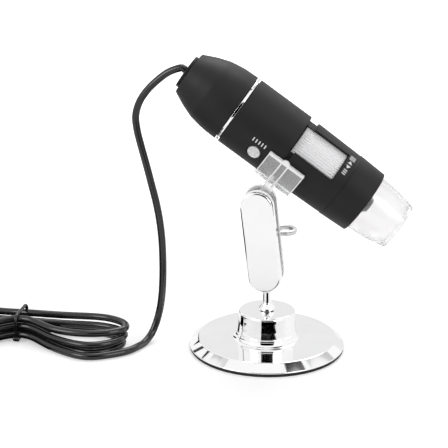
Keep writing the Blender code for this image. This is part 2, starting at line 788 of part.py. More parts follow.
def make_clip(looks, clip_frame):
    first = -CLIP_MOUTH_DROP
    last = -math.pi + CLIP_MOUTH_DROP
    outer = CLIP_BORE + CLIP_WALL
    lip = CLIP_BORE + LIP_WALL
    start = CLIP_START - STEM_STATION
    end = CLIP_END - STEM_STATION
    outline = clip_arc(lip, first, first - LIP_ARC, 1)
    outline += clip_arc(outer, first - LIP_ARC, last + LIP_ARC, CLIP_ARC_STEPS)
    outline += clip_arc(lip, last + LIP_ARC, last, 1)
    outline += clip_arc(CLIP_BORE, last, first, CLIP_ARC_STEPS)
    clip = finished(
        "clip", extruded_along_axis(outline, start, end), looks["clear"], clip_frame
    )
    rib_first = first - LIP_ARC / 2
    rib_last = last + LIP_ARC / 2
    rib = clip_arc(outer + CLIP_RIB_HEIGHT, rib_first, rib_last, CLIP_ARC_STEPS)
    rib += clip_arc(outer - RIB_ROOT, rib_last, rib_first, CLIP_ARC_STEPS)
    for label, side in (("rear rib", -1), ("front rib", 1)):
        middle = side * CLIP_RIB_SPACING / 2
        low = middle - CLIP_RIB_WIDTH / 2
        high = middle + CLIP_RIB_WIDTH / 2
        boolean(clip, label, extruded_along_axis(rib, low, high), "UNION")
    stem_low = ball_flat(STEM_RADIUS) + GAP
    stem_high = STEM_LENGTH - outer + RIB_ROOT
    boolean(clip, "stem", rod(STEM_RADIUS, stem_low, stem_high, BALL_FACETS), "UNION")
    for label, side in (("near tab", -1), ("far tab", 1)):
        boolean(clip, label, clip_tab(side), "UNION")


def clip_tab(side):
    """Rounded finger tab that stands up from one lip."""
    middle = TAB_STATION - STEM_STATION
    half = TAB_WIDTH / 2
    mouth = STEM_LENGTH - (CLIP_BORE + LIP_WALL) * math.sin(CLIP_MOUTH_DROP)
    outline = [(middle + half, mouth - TAB_ROOT)]
    for step in range(TAB_STEPS + 1):
        angle = math.pi * step / TAB_STEPS
        outline.append((middle + half * math.cos(angle), mouth + TAB_HEIGHT * math.sin(angle)))
    outline.append((middle - half, mouth - TAB_ROOT))
    inner = CLIP_BORE + GAP / 2
    outer = CLIP_BORE + LIP_WALL - GAP / 2
    return lofted([[(x, side * y, z) for x, z in outline] for y in (inner, outer)])


def make_clip_ball(looks, ball_frame):
    ball = ball_on_neck(STEM_RADIUS, BALL_FACETS)
    moved(ball, Matrix.Rotation(math.pi, 4, "X"))
    finished("clip_ball", ball, looks["clear"], ball_frame)


# Microscope, in its own frame: Z along the axis to the nose, X up, Y towards the viewer


def radial_frame(angle, station):
    """Frame whose Z points out of the axis at the angle, and whose Y runs to the nose."""
    out = Vector((math.sin(angle), math.cos(angle), 0))
    across = UP.cross(out)
    rotation = Matrix((across, UP, out)).transposed().to_4x4()
    return Matrix.Translation((0, 0, station)) @ rotation


def make_rear_housing(looks, scope):
    face = RING_HALF_LENGTH + GAP
    inner = SPIGOT_RADIUS - SPIGOT_WALL
    end_wall = TAIL_END - TAIL_WALL
    bore = GROMMET_NECK_RADIUS + GAP
    corners = [
        (inner, SPIGOT_END, 0),
        (inner, -TAIL_SHOULDER, 0),
        (TAIL_CORNER_RADIUS - TAIL_WALL, -TAIL_CORNER, 0),
        (TAIL_TAPER_RADIUS - TAIL_WALL, -TAIL_TAPER, 0),
        (TAIL_END_RADIUS - TAIL_WALL, -end_wall, 0),
        (bore, -end_wall, 0),
        (bore, -TAIL_END, 0),
        (TAIL_END_RADIUS, -TAIL_END, TAIL_ROUND),
        (TAIL_TAPER_RADIUS, -TAIL_TAPER, 0),
        (TAIL_CORNER_RADIUS, -TAIL_CORNER, TAIL_ROUND),
        (TAIL_SHOULDER_RADIUS, -TAIL_SHOULDER, 0),
        (TAIL_EDGE_RADIUS, -face, 0),
        (SPIGOT_RADIUS, -face, 0),
        (SPIGOT_RADIUS, SPIGOT_END, 0),
    ]
    finished("rear_housing", turned(eased(corners, 2), SHELL_FACETS), looks["body"], scope)


def make_grommet(looks, scope):
    end_wall = TAIL_END - TAIL_WALL
    head = -(end_wall - GAP)
    corners = [
        (0, -GROMMET_FACE, 0),
        (GROMMET_RADIUS, -GROMMET_FACE, GROMMET_ROUND),
        (GROMMET_RADIUS, -TAIL_END - GAP, 0),
        (GROMMET_NECK_RADIUS, -TAIL_END - GAP, 0),
        (GROMMET_NECK_RADIUS, head, 0),
        (GROMMET_HEAD_RADIUS, head, 0),
        (GROMMET_HEAD_RADIUS, head + GROMMET_HEAD_LENGTH, 0),
        (0, head + GROMMET_HEAD_LENGTH, 0),
    ]
    finished("cable_grommet", turned(eased(corners, 2), TUBE_FACETS), looks["body"], scope)
    return head + GROMMET_HEAD_LENGTH


def make_trim_ring(looks, scope):
    inner = SPIGOT_RADIUS + GAP
    corners = [
        (inner, -RING_HALF_LENGTH, 0),
        (RING_RADIUS, -RING_HALF_LENGTH, RING_ROUND),
        (RING_RADIUS, RING_HALF_LENGTH, RING_ROUND),
        (inner, RING_HALF_LENGTH, 0),
    ]
    finished("trim_ring", turned(eased(corners, 1), SHELL_FACETS), looks["chrome"], scope)


def make_body_sleeve(looks, scope):
    start = RING_HALF_LENGTH + GAP
    inner = SLEEVE_RADIUS - SLEEVE_WALL
    corners = [
        (inner, start, 0),
        (SLEEVE_RADIUS, start, SLEEVE_ROUND),
        (SLEEVE_RADIUS, SLEEVE_END, SLEEVE_ROUND),
        (inner, SLEEVE_END, 0),
    ]
    sleeve = finished(
        "body_sleeve", turned(eased(corners, 1), SHELL_FACETS), looks["body"], scope
    )
    hole = rod(BUTTON_RADIUS + BUTTON_GROOVE, inner - OVERRUN, SLEEVE_RADIUS + OVERRUN, BALL_FACETS)
    boolean(sleeve, "button hole", hole, "DIFFERENCE", radial_frame(BUTTON_ANGLE, BUTTON_STATION))


def make_button(looks, button_frame, scope):
    """Button, its switch and the small board that stands on the main board."""
    top = SLEEVE_RADIUS + BUTTON_PROUD
    flange_top = SLEEVE_RADIUS - SLEEVE_WALL - FLANGE_DROP
    flange_low = flange_top - FLANGE_THICKNESS
    corners = [
        (0, flange_low, 0),
        (FLANGE_RADIUS, flange_low, 0),
        (FLANGE_RADIUS, flange_top, 0),
        (BUTTON_RADIUS, flange_top, 0),
        (BUTTON_RADIUS, top, BUTTON_ROUND),
        (0, top, 0),
    ]
    finished("snap_button", turned(eased(corners, 2), BALL_FACETS), looks["button"], button_frame)
    plunger_top = flange_low - BUTTON_TRAVEL - GAP / 2
    plunger_low = plunger_top - SWITCH_PLUNGER_HEIGHT
    switch_low = plunger_low - SWITCH_HEIGHT
    half = SWITCH_WIDTH / 2
    body = block((-half, -half, switch_low), (half, half, plunger_low))
    switch = finished("snap_switch", body, looks["chip"], scope)
    switch.matrix_local = radial_frame(BUTTON_ANGLE, BUTTON_STATION)
    plunger = rod(SWITCH_PLUNGER_RADIUS, plunger_low - GAP, plunger_top, SMALL_FACETS)
    place = radial_frame(BUTTON_ANGLE, BUTTON_STATION)
    boolean(switch, "plunger", plunger, "UNION", place)
    board_top = switch_low - GAP
    board_low = board_top - BUTTON_BOARD_THICKNESS
    board_half = BUTTON_BOARD_WIDTH / 2
    board_start = BUTTON_BOARD_START - BUTTON_STATION
    board_end = main_board_start() - GAP - BUTTON_STATION
    shape = block((-board_half, board_start, board_low), (board_half, board_end, board_top))
    board = finished("button_board", shape, looks["board"], scope)
    board.matrix_local = radial_frame(BUTTON_ANGLE, BUTTON_STATION)


def main_board_start():
    return TUBE_FLANGE_START - GAP - BOARD_THICKNESS


def make_front_shell(looks, scope):
    tube_bore = TUBE_RADIUS + GAP
    cap_bore = CAP_ROOT_RADIUS + GAP
    web_start = WHEEL_END + GAP
    web_end = web_start + WEB_LENGTH
    ledge_end = light_board_start() - GAP
    ledge_start = ledge_end - LEDGE_LENGTH
    corners = [
        (SHELL_BORE, NECK_START, 0),
        (NECK_RADIUS, NECK_START, 0),
        (NECK_RADIUS, SHELL_START, 0),
        (SHELL_START_RADIUS, SHELL_START, SHELL_ROUND),
        (SHELL_END_RADIUS, COLLAR_START, 0),
        (COLLAR_START_RADIUS, COLLAR_START, 0),
        (COLLAR_END_RADIUS, COLLAR_END, SHELL_ROUND),
        (cap_bore, COLLAR_END, 0),
        (cap_bore, ledge_end, 0),
        (tube_bore, ledge_end, 0),
        (tube_bore, ledge_start, 0),
        (cap_bore, ledge_start, 0),
        (cap_bore, web_end, 0),
        (tube_bore, web_end, 0),
        (tube_bore, web_start, 0),
        (SHELL_BORE, web_start, 0),
    ]
    shell = finished("front_shell", turned(eased(corners, 2), SHELL_FACETS), looks["body"], scope)
    half = WINDOW_WIDTH / 2
    reach = SLEEVE_RADIUS + OVERRUN
    for label, angle in (("window", WINDOW_ANGLE), ("far window", WINDOW_ANGLE + math.pi)):
        opening = block((-half, WINDOW_START, TUBE_RADIUS), (half, WINDOW_END, reach))
        boolean(shell, label, opening, "DIFFERENCE", radial_frame(angle, 0))
    relief = [
        (NECK_RADIUS, SHELL_START - OVERRUN),
        (reach, SHELL_START - OVERRUN),
        (reach, SHELL_TOP_START),
        (NECK_RADIUS, SHELL_TOP_START),
    ]
    turn = Matrix.Rotation(math.pi / 2 - WINDOW_ANGLE - math.pi, 4, "Z")
    boolean(shell, "top relief", turned(relief, SHELL_FACETS // 2, math.pi), "DIFFERENCE", turn)


def make_focus_wheel(looks, scope):
    outline = []
    for step in range(2 * WHEEL_RIBS):
        radius = WHEEL_RADIUS - RIB_DEPTH * (step % 2)
        angle = FULL_TURN * step / (2 * WHEEL_RIBS)
        outline.append((radius * math.cos(angle), radius * math.sin(angle)))
    rings = [[(x, y, z) for x, y in outline] for z in (WHEEL_START, WHEEL_END)]
    wheel = finished("focus_wheel", lofted(rings), looks["silver"], scope)
    bore = rod(TUBE_RADIUS + GAP, WHEEL_START - OVERRUN, WHEEL_END + OVERRUN, TUBE_FACETS)
    boolean(wheel, "bore", bore, "DIFFERENCE")


def make_focus_tube(looks, scope):
    flange_end = TUBE_FLANGE_START + TUBE_FLANGE_THICKNESS
    inner = TUBE_RADIUS - TUBE_WALL
    end = light_board_start() - GAP
    profile = [
        (inner, TUBE_FLANGE_START),
        (SHELL_BORE - GAP, TUBE_FLANGE_START),
        (SHELL_BORE - GAP, flange_end),
        (TUBE_RADIUS, flange_end),
        (TUBE_RADIUS, end),
        (inner, end),
    ]
    tube = finished("focus_tube", turned(profile, TUBE_FACETS), looks["inner"], scope)
    half = PIN_RADIUS + GAP
    travel = CARRIER_TRAVEL + PIN_RADIUS + GAP
    low = PIN_STATION - travel
    high = PIN_STATION + travel
    slot = block((-half, low, inner - OVERRUN), (half, high, TUBE_RADIUS + OVERRUN))
    boolean(tube, "guide slot", slot, "DIFFERENCE", radial_frame(PIN_ANGLE, 0))
    for label, turn in (("screw hole", 0), ("far screw hole", math.pi)):
        hole = rod(
            BOARD_SCREW_RADIUS + GAP, TUBE_FLANGE_START - OVERRUN, flange_end + OVERRUN, SMALL_FACETS
        )
        boolean(tube, label, hole, "DIFFERENCE", screw_place(turn))


def screw_place(turn):
    place = (BOARD_SCREW_CIRCLE * math.cos(turn), BOARD_SCREW_CIRCLE * math.sin(turn), 0)
    return Matrix.Translation(place)


def make_lens_carrier(looks, scope):
    inner = CARRIER_RADIUS - CARRIER_WALL
    hole = BARREL_RADIUS + GAP
    wall = CARRIER_END - CARRIER_FRONT_WALL
    profile = [
        (inner, CARRIER_START),
        (CARRIER_RADIUS, CARRIER_START),
        (CARRIER_RADIUS, CARRIER_END),
        (hole, CARRIER_END),
        (hole, wall),
        (inner, wall),
    ]
    carrier = finished("lens_carrier", turned(profile, TUBE_FACETS), looks["inner"], scope)
    pin = rod(PIN_RADIUS, CARRIER_RADIUS - PIN_ROOT, TUBE_RADIUS, SMALL_FACETS)
    boolean(carrier, "guide pin", pin, "UNION", radial_frame(PIN_ANGLE, PIN_STATION))
    flange_end = wall - GAP
    flange_start = flange_end - BARREL_FLANGE_THICKNESS
    barrel = [
        (BARREL_BORE, BARREL_START),
        (BARREL_RADIUS, BARREL_START),
        (BARREL_RADIUS, flange_start),
        (BARREL_FLANGE_RADIUS, flange_start),
        (BARREL_FLANGE_RADIUS, flange_end),
        (BARREL_RADIUS, flange_end),
        (BARREL_RADIUS, BARREL_SHOULDER),
        (BARREL_CONE_START_RADIUS, COLLAR_END),
        (BARREL_TIP_RADIUS, BARREL_TIP),
        (BARREL_BORE, BARREL_TIP),
    ]
    finished("lens_barrel", turned(barrel, BALL_FACETS), looks["inner"], scope)
    lens_end = BARREL_TIP - LENS_RECESS
    lens_radius = BARREL_BORE - GAP
    lens = [
        (0, lens_end - LENS_THICKNESS),
        (lens_radius, lens_end - LENS_THICKNESS),
        (lens_radius, lens_end - LENS_CROWN),
        (lens_radius / 2, lens_end - LENS_CROWN / 4),
        (0, lens_end),
    ]
    finished("front_lens", turned(lens, SMALL_FACETS), looks["lens"], scope)


def light_board_start():
    return CAP_ROOT_START - GAP - LED_BOARD_THICKNESS


def make_lights(looks, scope):
    start = light_board_start()
    end = start + LED_BOARD_THICKNESS
    board = ring(CAP_ROOT_RADIUS, BARREL_RADIUS + GAP, start, end, TUBE_FACETS)
    finished("led_board", board, looks["board_white"], scope)
    half = LED_WIDTH / 2
    for index in range(LED_COUNT):
        turn = Matrix.Rotation(FULL_TURN * index / LED_COUNT, 4, "Z")
        low = (LED_CIRCLE - half, -half, end + GAP)
        high = (LED_CIRCLE + half, half, end + GAP + LED_HEIGHT)
        finished(f"led_{index + 1}", moved(block(low, high), turn), looks["led"], scope)


def cap_outer(share):
    """Radius of the cap's convex side at a share of its length."""
    straight = CAP_ROOT_RADIUS + (CAP_END_RADIUS - CAP_ROOT_RADIUS) * share
    return straight + CAP_BULGE * math.sin(math.pi * share)


def make_nose_cap(looks, scope):
    free = CAP_END - COLLAR_END
    rim_share = 1 - CAP_RIM_LENGTH / free
    corners = [(CAP_ROOT_RADIUS, CAP_ROOT_START, 0)]
    for step in range(CAP_STEPS):
        share = step / CAP_STEPS
        corners.append((cap_outer(share), COLLAR_END + free * share, 0))
    corners.append((CAP_END_RADIUS, CAP_END, CAP_ROUND))
    rim_inner = CAP_END_RADIUS - CAP_RIM_WALL
    corners.append((rim_inner, CAP_END, CAP_ROUND))
    corners.append((rim_inner, CAP_END - CAP_RIM_LENGTH, 0))
    for step in range(CAP_STEPS, -1, -1):
        share = rim_share * step / CAP_STEPS
        corners.append((cap_outer(share) - CAP_WALL, COLLAR_END + free * share, 0))
    corners.append((CAP_ROOT_RADIUS - CAP_WALL, CAP_ROOT_START, 0))
    finished("nose_cap", turned(eased(corners, 2), SHELL_FACETS), looks["clear"], scope)


def make_main_board(looks, scope, grommet_inner):
    start = main_board_start()
    end = start + BOARD_THICKNESS
    disc = rod(SHELL_BORE - BOARD_MARGIN, start, end, TUBE_FACETS)
    board = finished("main_board", disc, looks["board"], scope)
    for label, turn in (("screw hole", 0), ("far screw hole", math.pi)):
        hole = rod(BOARD_SCREW_RADIUS + GAP, start - OVERRUN, end + OVERRUN, SMALL_FACETS)
        boolean(board, label, hole, "DIFFERENCE", screw_place(turn))
    half = SENSOR_WIDTH / 2
    sensor = block((-half, -half, end + GAP), (half, half, end + GAP + SENSOR_HEIGHT))
    finished("image_sensor", sensor, looks["chip"], scope)
    head_end = start - GAP
    screw_profile = [
        (0, head_end - BOARD_SCREW_HEAD_HEIGHT),
        (BOARD_SCREW_HEAD_RADIUS, head_end - BOARD_SCREW_HEAD_HEIGHT),
        (BOARD_SCREW_HEAD_RADIUS, head_end),
        (BOARD_SCREW_RADIUS, head_end),
        (BOARD_SCREW_RADIUS, head_end + BOARD_SCREW_LENGTH),
        (0, head_end + BOARD_SCREW_LENGTH),
    ]
    for number, turn in ((1, 0), (2, math.pi)):
        screw = moved(turned(screw_profile, SMALL_FACETS), screw_place(turn))
        finished(f"board_screw_{number}", screw, looks["steel"], scope)
    across = HEADER_WIDTH / 2
    deep = HEADER_DEPTH / 2
    header_low = start - GAP - HEADER_HEIGHT
    header = block((-deep, -across, header_low), (deep, across, start - GAP))
    finished("cable_header", header, looks["connector"], scope)
    make_inner_lead(looks, scope, grommet_inner + GAP, header_low - GAP)


def make_inner_lead(looks, scope, start, end):
    """Lead inside the tail, bowed to one side, square to what it meets at both ends."""
    points = []
    for step in range(LEAD_POINTS):
        share = step / (LEAD_POINTS - 1)
        bow = LEAD_BOW * (1 - math.cos(FULL_TURN * share)) / 2
        points.append((bow, 0, start + (end - start) * share))
    tube_curve("inner_lead", points, LEAD_RADIUS, 1, looks["cord"], scope)


# Cord


def hank_side(along):
    """Half width of the drawn-in hank at a distance from its waist, and its slope."""
    phase = math.pi * along / HANK_HALF_LENGTH
    spread = (HANK_END_RADIUS - HANK_WAIST_HALF_WIDTH) / 2
    return (
        HANK_WAIST_HALF_WIDTH + spread * (1 - math.cos(phase)),
        spread * math.pi / HANK_HALF_LENGTH * math.sin(phase),
    )


def hank_place(index, inset):
    """Point of a loop, clockwise from the rear of the right end, moved in by the inset."""
    step = index % LOOP_POINTS
    half_loop = LOOP_POINTS // 2
    side = 1 if step < half_loop else -1
    step %= half_loop
    if step < ARC_POINTS:
        angle = math.pi / 2 - math.pi * step / ARC_POINTS
        radius = HANK_END_RADIUS - inset
        point = Vector((HANK_HALF_LENGTH + radius * math.cos(angle), radius * math.sin(angle), 0))
        return side * point
    along = HANK_HALF_LENGTH * (1 - 2 * (step - ARC_POINTS) / RUN_POINTS)
    half_width, slope = hank_side(along)
    normal = Vector((slope, 1, 0)).normalized()
    return side * (Vector((along, -half_width, 0)) + normal * inset)


def eased_step(share):
    share = min(max(share, 0.0), 1.0)
    return share * share * (3 - 2 * share)


def hank_inset(turn, turns):
    """Distance inside the outer loop: in on the floor, out on the second layer, small on top."""
    if turn < HANK_LAYER_SHARE:
        return HANK_PITCH * turn
    top = turn - 2 * HANK_LAYER_SHARE
    if top < 0:
        return -HANK_PITCH * top
    top_turns = turns - 2 * HANK_LAYER_SHARE
    return HANK_PITCH * HANK_TOP_INSET_SHARE * math.sin(math.pi * top / top_turns)


def hank_shift(point, layer):
    """Shift to the rear: of the waist, and of the upper strands' front at the right end."""
    away = eased_step((point.x - HANK_FAN_START) / HANK_FAN_LENGTH)
    front = eased_step((HANK_FAN_EDGE - point.y) / HANK_END_RADIUS)
    rear = eased_step(point.y / HANK_REAR_WIDTH)
    fan = HANK_FAN * min(layer, 1) + HANK_TOP_FAN * max(layer - 1, 0)
    waist = 1 - eased_step(abs(point.x) / HANK_FAN_LENGTH)
    return (fan * front - HANK_REAR_DRAW * rear) * away + HANK_WAIST_SHIFT * waist


def hank_points():
    count = HANK_LOOP_COUNT * LOOP_POINTS + HANK_LAST_STEPS - HANK_START_STEPS
    turns = count / LOOP_POINTS
    lift = TIE_THICKNESS + 2 * GAP
    points = []
    for step in range(count + 1):
        turn = step / LOOP_POINTS
        layer = 0
        for climb_share in (HANK_LAYER_SHARE, 2 * HANK_LAYER_SHARE):
            layer += eased_step((turn - climb_share) / HANK_CLIMB_SHARE + 0.5)
        point = hank_place(HANK_START_STEPS + step, hank_inset(turn, turns))
        rise = lift * (1 - eased_step(abs(point.x) / HANK_LIFT_LENGTH))
        point.z = CORD_ON_FLOOR + layer * HANK_LAYER + rise
        point.y += hank_shift(point, layer)
        points.append(HANK_CENTRE + point)
    lead_in = (points[0] - points[1]).normalized()
    points.insert(0, points[0] + lead_in * CORD_DIAMETER)
    start = points[0]
    tail = points[-1]
    drop = tail.z - PLUG_HEIGHT / 2
    for along_share, down_share in TAIL_DROP_SHARES:
        points.append(tail + Vector((0, HANK_TAIL * along_share, -drop * down_share)))
    return points, start, lead_in


def least_gap(points, diameter, samples=5, skip=4):
    """Least distance between strands of one cord, along straight pieces between its points."""
    fine = []
    for number, (a, b) in enumerate(zip(points, points[1:])):
        fine += [(number, a.lerp(b, step / samples)) for step in range(samples)]
    least = None
    for first in range(len(fine)):
        number, here = fine[first]
        for other, there in fine[first:]:
            if other - number < skip:
                continue
            apart = (there - here).length - diameter
            least = apart if least is None else min(least, apart)
    return least


def make_cord(looks, scope_world):
    """Free run, hank, tie and plug; the run starts square to the grommet's face."""
    hank, hank_start, lead_in = hank_points()
    tube_curve("cord_hank", hank, CORD_RADIUS, 1, looks["cord"])
    print(f"least gap between the hank's strands: {least_gap(hank, CORD_DIAMETER) / MM:.2f} mm")
    face = scope_world @ Vector((0, 0, -GROMMET_FACE - GAP))
    back = scope_world.to_3x3() @ Vector((0, 0, -1))
    end = hank_start + lead_in * GAP
    leaving = face + back * CORD_EXIT
    arriving = end + lead_in * CORD_DIAMETER
    route = smooth_route([face, leaving, *CORD_ROUTE, arriving, end], CORD_SPACING)
    tube_curve("cord_run", [face, *route, end], CORD_RADIUS, 2, looks["cord"])
    make_tie(looks)
    make_plug(looks, hank[-1])


def make_tie(looks):
    """Thin tie round the hank's waist, with a twisted knob at its front foot."""
    width = 2 * (HANK_WAIST_HALF_WIDTH + CORD_RADIUS + 3 * GAP)
    strands = CORD_DIAMETER + 2 * HANK_LAYER + 2 * FLOOR_CLEARANCE
    inner_low = FLOOR_CLEARANCE + TIE_THICKNESS
    height = strands + 2 * GAP
    middle = inner_low + height / 2
    outer_width = width + 2 * TIE_THICKNESS
    outer_height = height + 2 * TIE_THICKNESS
    half = TIE_WIDTH / 2
    outer_corner = TIE_CORNER + TIE_THICKNESS
    rings = []
    for z, across, tall, corner in (
        (-half, outer_width, outer_height, outer_corner),
        (half, outer_width, outer_height, outer_corner),
        (half, width, height, TIE_CORNER),
        (-half, width, height, TIE_CORNER),
    ):
        rings.append(rounded_rectangle(across, tall, corner, z, TIE_CORNER_STEPS))
    upright = Matrix((Vector((0, 1, 0)), UP, Vector((1, 0, 0)))).transposed().to_4x4()
    place = Matrix.Translation(HANK_CENTRE + Vector((-TIE_OFFSET, HANK_WAIST_SHIFT, middle)))
    tie_frame = frame_empty("tie frame", place @ upright)
    tie = finished("cord_tie", banded(rings), looks["cord"], tie_frame)
    knob = rod(TIE_KNOB_RADIUS, 0, TIE_KNOB_LENGTH, SMALL_FACETS)
    knob_across = -outer_width / 2 + TIE_THICKNESS / 2
    knob_up = TIE_KNOB_RADIUS + FLOOR_CLEARANCE - middle
    knob_up = max(knob_up, -height / 2 + TIE_CORNER)
    knob_place = Matrix.Translation((knob_across, knob_up, 0)) @ Matrix.Rotation(-math.pi / 2, 4, "Y")
    boolean(tie, "knob", knob, "UNION", knob_place)


def relief_rings():
    rings = []
    steps = 4 * RELIEF_GROOVES
    for step in range(steps + 1):
        share = step / steps
        radius = RELIEF_START_RADIUS + (RELIEF_END_RADIUS - RELIEF_START_RADIUS) * share
        if step % 4 in (2, 3):
            radius -= RELIEF_GROOVE
        size = 2 * radius
        z = RELIEF_LENGTH * share
        rings.append(rounded_rectangle(size, size, radius, z, PLUG_CORNER_STEPS))
    return rings


def make_plug(looks, cord_end):
    """Overmould with its strain relief, metal shell and tongue, along world Y."""
    turn = Matrix((Vector((-1, 0, 0)), UP, Vector((0, 1, 0)))).transposed().to_4x4()
    start = cord_end + Vector((0, GAP, 0))
    plug = frame_empty("plug axis", Matrix.Translation(start) @ turn)
    nose = PLUG_NOSE_INSET
    body_end = RELIEF_LENGTH + PLUG_LENGTH
    rings = relief_rings()
    for z, inset in (
        (RELIEF_LENGTH + PLUG_NOSE_LENGTH, nose),
        (RELIEF_LENGTH + 2 * PLUG_NOSE_LENGTH, 0),
        (body_end - PLUG_NOSE_LENGTH, 0),
        (body_end, nose),
    ):
        wide = PLUG_WIDTH - 2 * inset
        tall = PLUG_HEIGHT - 2 * inset
        rings.append(rounded_rectangle(wide, tall, PLUG_CORNER, z, PLUG_CORNER_STEPS))
    finished("usb_overmould", lofted(rings), looks["cord"], plug)
    low = body_end + GAP
    high = low + USB_LENGTH
    inner_width = USB_WIDTH - 2 * USB_SHEET
    inner_height = USB_HEIGHT - 2 * USB_SHEET
    inner_corner = USB_CORNER - USB_SHEET / 2
    shell = []
    for z, wide, tall, corner in (
        (low, USB_WIDTH, USB_HEIGHT, USB_CORNER),
        (high, USB_WIDTH, USB_HEIGHT, USB_CORNER),
        (high, inner_width, inner_height, inner_corner),
        (low, inner_width, inner_height, inner_corner),
    ):
        shell.append(rounded_rectangle(wide, tall, corner, z, 2))
    finished("usb_shell", banded(shell), looks["steel"], plug)
    across = inner_width / 2 - GAP
    tongue_low = GAP - inner_height / 2
    tongue_high = tongue_low + TONGUE_THICKNESS
    tongue_end = high - TONGUE_SETBACK
    tongue = block((-across, tongue_low, low), (across, tongue_high, tongue_end))
    finished("usb_tongue", tongue, looks["connector"], plug)


def main():
    clear_scene()
    looks = make_materials()
    lower_ball = Matrix.Translation((0, 0, LOWER_BALL_HEIGHT))
    arm_world = lower_ball @ Matrix.Rotation(ARM_LEAN, 4, "Y")
    upper_ball = (arm_world @ Vector((0, 0, ARM_LENGTH)))
    clip_world = Matrix.Translation(upper_ball) @ Matrix.Rotation(TILT, 4, "Y")
    scope_place = clip_world @ Vector((-STEM_STATION, 0, STEM_LENGTH))
    scope_turn = Matrix.Rotation(TILT + math.pi / 2, 4, "Y") @ Matrix.Rotation(math.pi, 4, "Z")
    scope_world = Matrix.Translation(scope_place) @ scope_turn

    ball_frame = frame_empty("lower ball centre", lower_ball)
    arm_frame = frame_empty("arm axis", arm_world)
    clamp_place = Matrix.Translation(arm_world @ Vector((0, 0, ARM_LENGTH / 2)))
    clamp_frame = frame_empty("clamp axis", clamp_place @ Matrix.Rotation(-math.pi / 2, 4, "X"))
    clip_frame = frame_empty("clip axis", clip_world)
    scope = frame_empty("microscope axis", scope_world)
    button_frame = frame_empty(
        "button axis", radial_frame(BUTTON_ANGLE, BUTTON_STATION), scope
    )

    make_base_pad(looks)
    make_base(looks)
    make_stud_fasteners(looks)
    make_post_and_ball(looks, ball_frame)
    make_arm(looks, arm_frame, clamp_frame)
    make_clip_ball(looks, clip_frame)
    make_clip(looks, clip_frame)
    make_rear_housing(looks, scope)
    grommet_inner = make_grommet(looks, scope)
    make_trim_ring(looks, scope)
    make_body_sleeve(looks, scope)
    make_button(looks, button_frame, scope)
    make_front_shell(looks, scope)
    make_focus_wheel(looks, scope)
    make_focus_tube(looks, scope)
    make_lens_carrier(looks, scope)
    make_lights(looks, scope)
    make_nose_cap(looks, scope)
    make_main_board(looks, scope, grommet_inner)
    make_cord(looks, scope_world)


main()
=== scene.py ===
"""Looks of the USB digital microscope on its chrome stand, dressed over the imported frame."""

import math

import bmesh
import bpy
from mathutils import Matrix, Vector


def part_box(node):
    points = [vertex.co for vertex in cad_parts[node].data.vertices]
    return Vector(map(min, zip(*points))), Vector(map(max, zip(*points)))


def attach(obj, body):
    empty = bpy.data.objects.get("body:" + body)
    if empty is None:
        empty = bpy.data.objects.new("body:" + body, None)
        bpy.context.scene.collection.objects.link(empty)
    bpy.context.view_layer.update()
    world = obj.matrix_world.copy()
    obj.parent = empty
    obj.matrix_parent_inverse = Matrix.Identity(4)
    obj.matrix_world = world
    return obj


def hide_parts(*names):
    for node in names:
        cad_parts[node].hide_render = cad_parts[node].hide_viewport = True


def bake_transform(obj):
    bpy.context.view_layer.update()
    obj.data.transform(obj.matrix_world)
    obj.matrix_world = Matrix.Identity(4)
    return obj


MM = 0.001
UP = Vector((0, 0, 1))
FULL_TURN = 2 * math.pi
WHITE = (1, 1, 1, 1)

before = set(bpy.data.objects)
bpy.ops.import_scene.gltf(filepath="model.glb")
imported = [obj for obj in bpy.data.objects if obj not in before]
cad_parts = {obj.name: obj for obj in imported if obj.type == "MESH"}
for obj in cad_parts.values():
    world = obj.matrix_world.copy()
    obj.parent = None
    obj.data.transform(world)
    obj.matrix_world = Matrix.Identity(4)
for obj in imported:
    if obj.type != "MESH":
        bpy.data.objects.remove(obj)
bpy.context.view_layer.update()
scene = bpy.context.scene


def direction(azimuth, elevation):
    """Direction at so many degrees to the right of the viewer's side, and so many up."""
    turn, rise = math.radians(azimuth), math.radians(elevation)
    level = math.cos(rise)
    return Vector((math.sin(turn) * level, -math.cos(turn) * level, math.sin(rise)))


def placed(name, data):
    """New object with this data, linked to the scene."""
    made = bpy.data.objects.new(name, data)
    scene.collection.objects.link(made)
    return made


# Camera

CAMERA_AZIMUTH = 10
CAMERA_ELEVATION = 18
CAMERA_DISTANCE = 600 * MM
CAMERA_AIM = Vector((-19.7, 0, 57.2)) * MM
CAMERA_LENS = 108.45
SENSOR_WIDTH = 36
CLIP_RANGE = (0.01, 20)


def make_camera():
    data = bpy.data.cameras.new("camera")
    data.lens = CAMERA_LENS
    data.sensor_width = SENSOR_WIDTH
    data.clip_start, data.clip_end = CLIP_RANGE
    made = placed("camera", data)
    back = direction(CAMERA_AZIMUTH, CAMERA_ELEVATION)
    made.location = CAMERA_AIM + back * CAMERA_DISTANCE
    made.rotation_mode = "QUATERNION"
    made.rotation_quaternion = (-back).to_track_quat("-Z", "Y")
    scene.camera = made


make_camera()


# Materials

LOOKS = {}
NOISE_LOW = 0.3  # nearly all of a noise's values lie between these two
NOISE_HIGH = 0.7


def set_inputs(node, **values):
    """The node, with inputs set by name; an underscore stands for a space in the name."""
    for socket, value in values.items():
        node.inputs[socket.replace("_", " ")].default_value = value
    return node


def new_material(name, colour, roughness, metallic=0.0, **inputs):
    made = bpy.data.materials.new(name)
    made.use_nodes = True
    tree = made.node_tree
    shader = tree.nodes["Principled BSDF"]
    set_inputs(shader, Base_Color=(*colour, 1), Roughness=roughness, Metallic=metallic, **inputs)
    return made, tree, shader


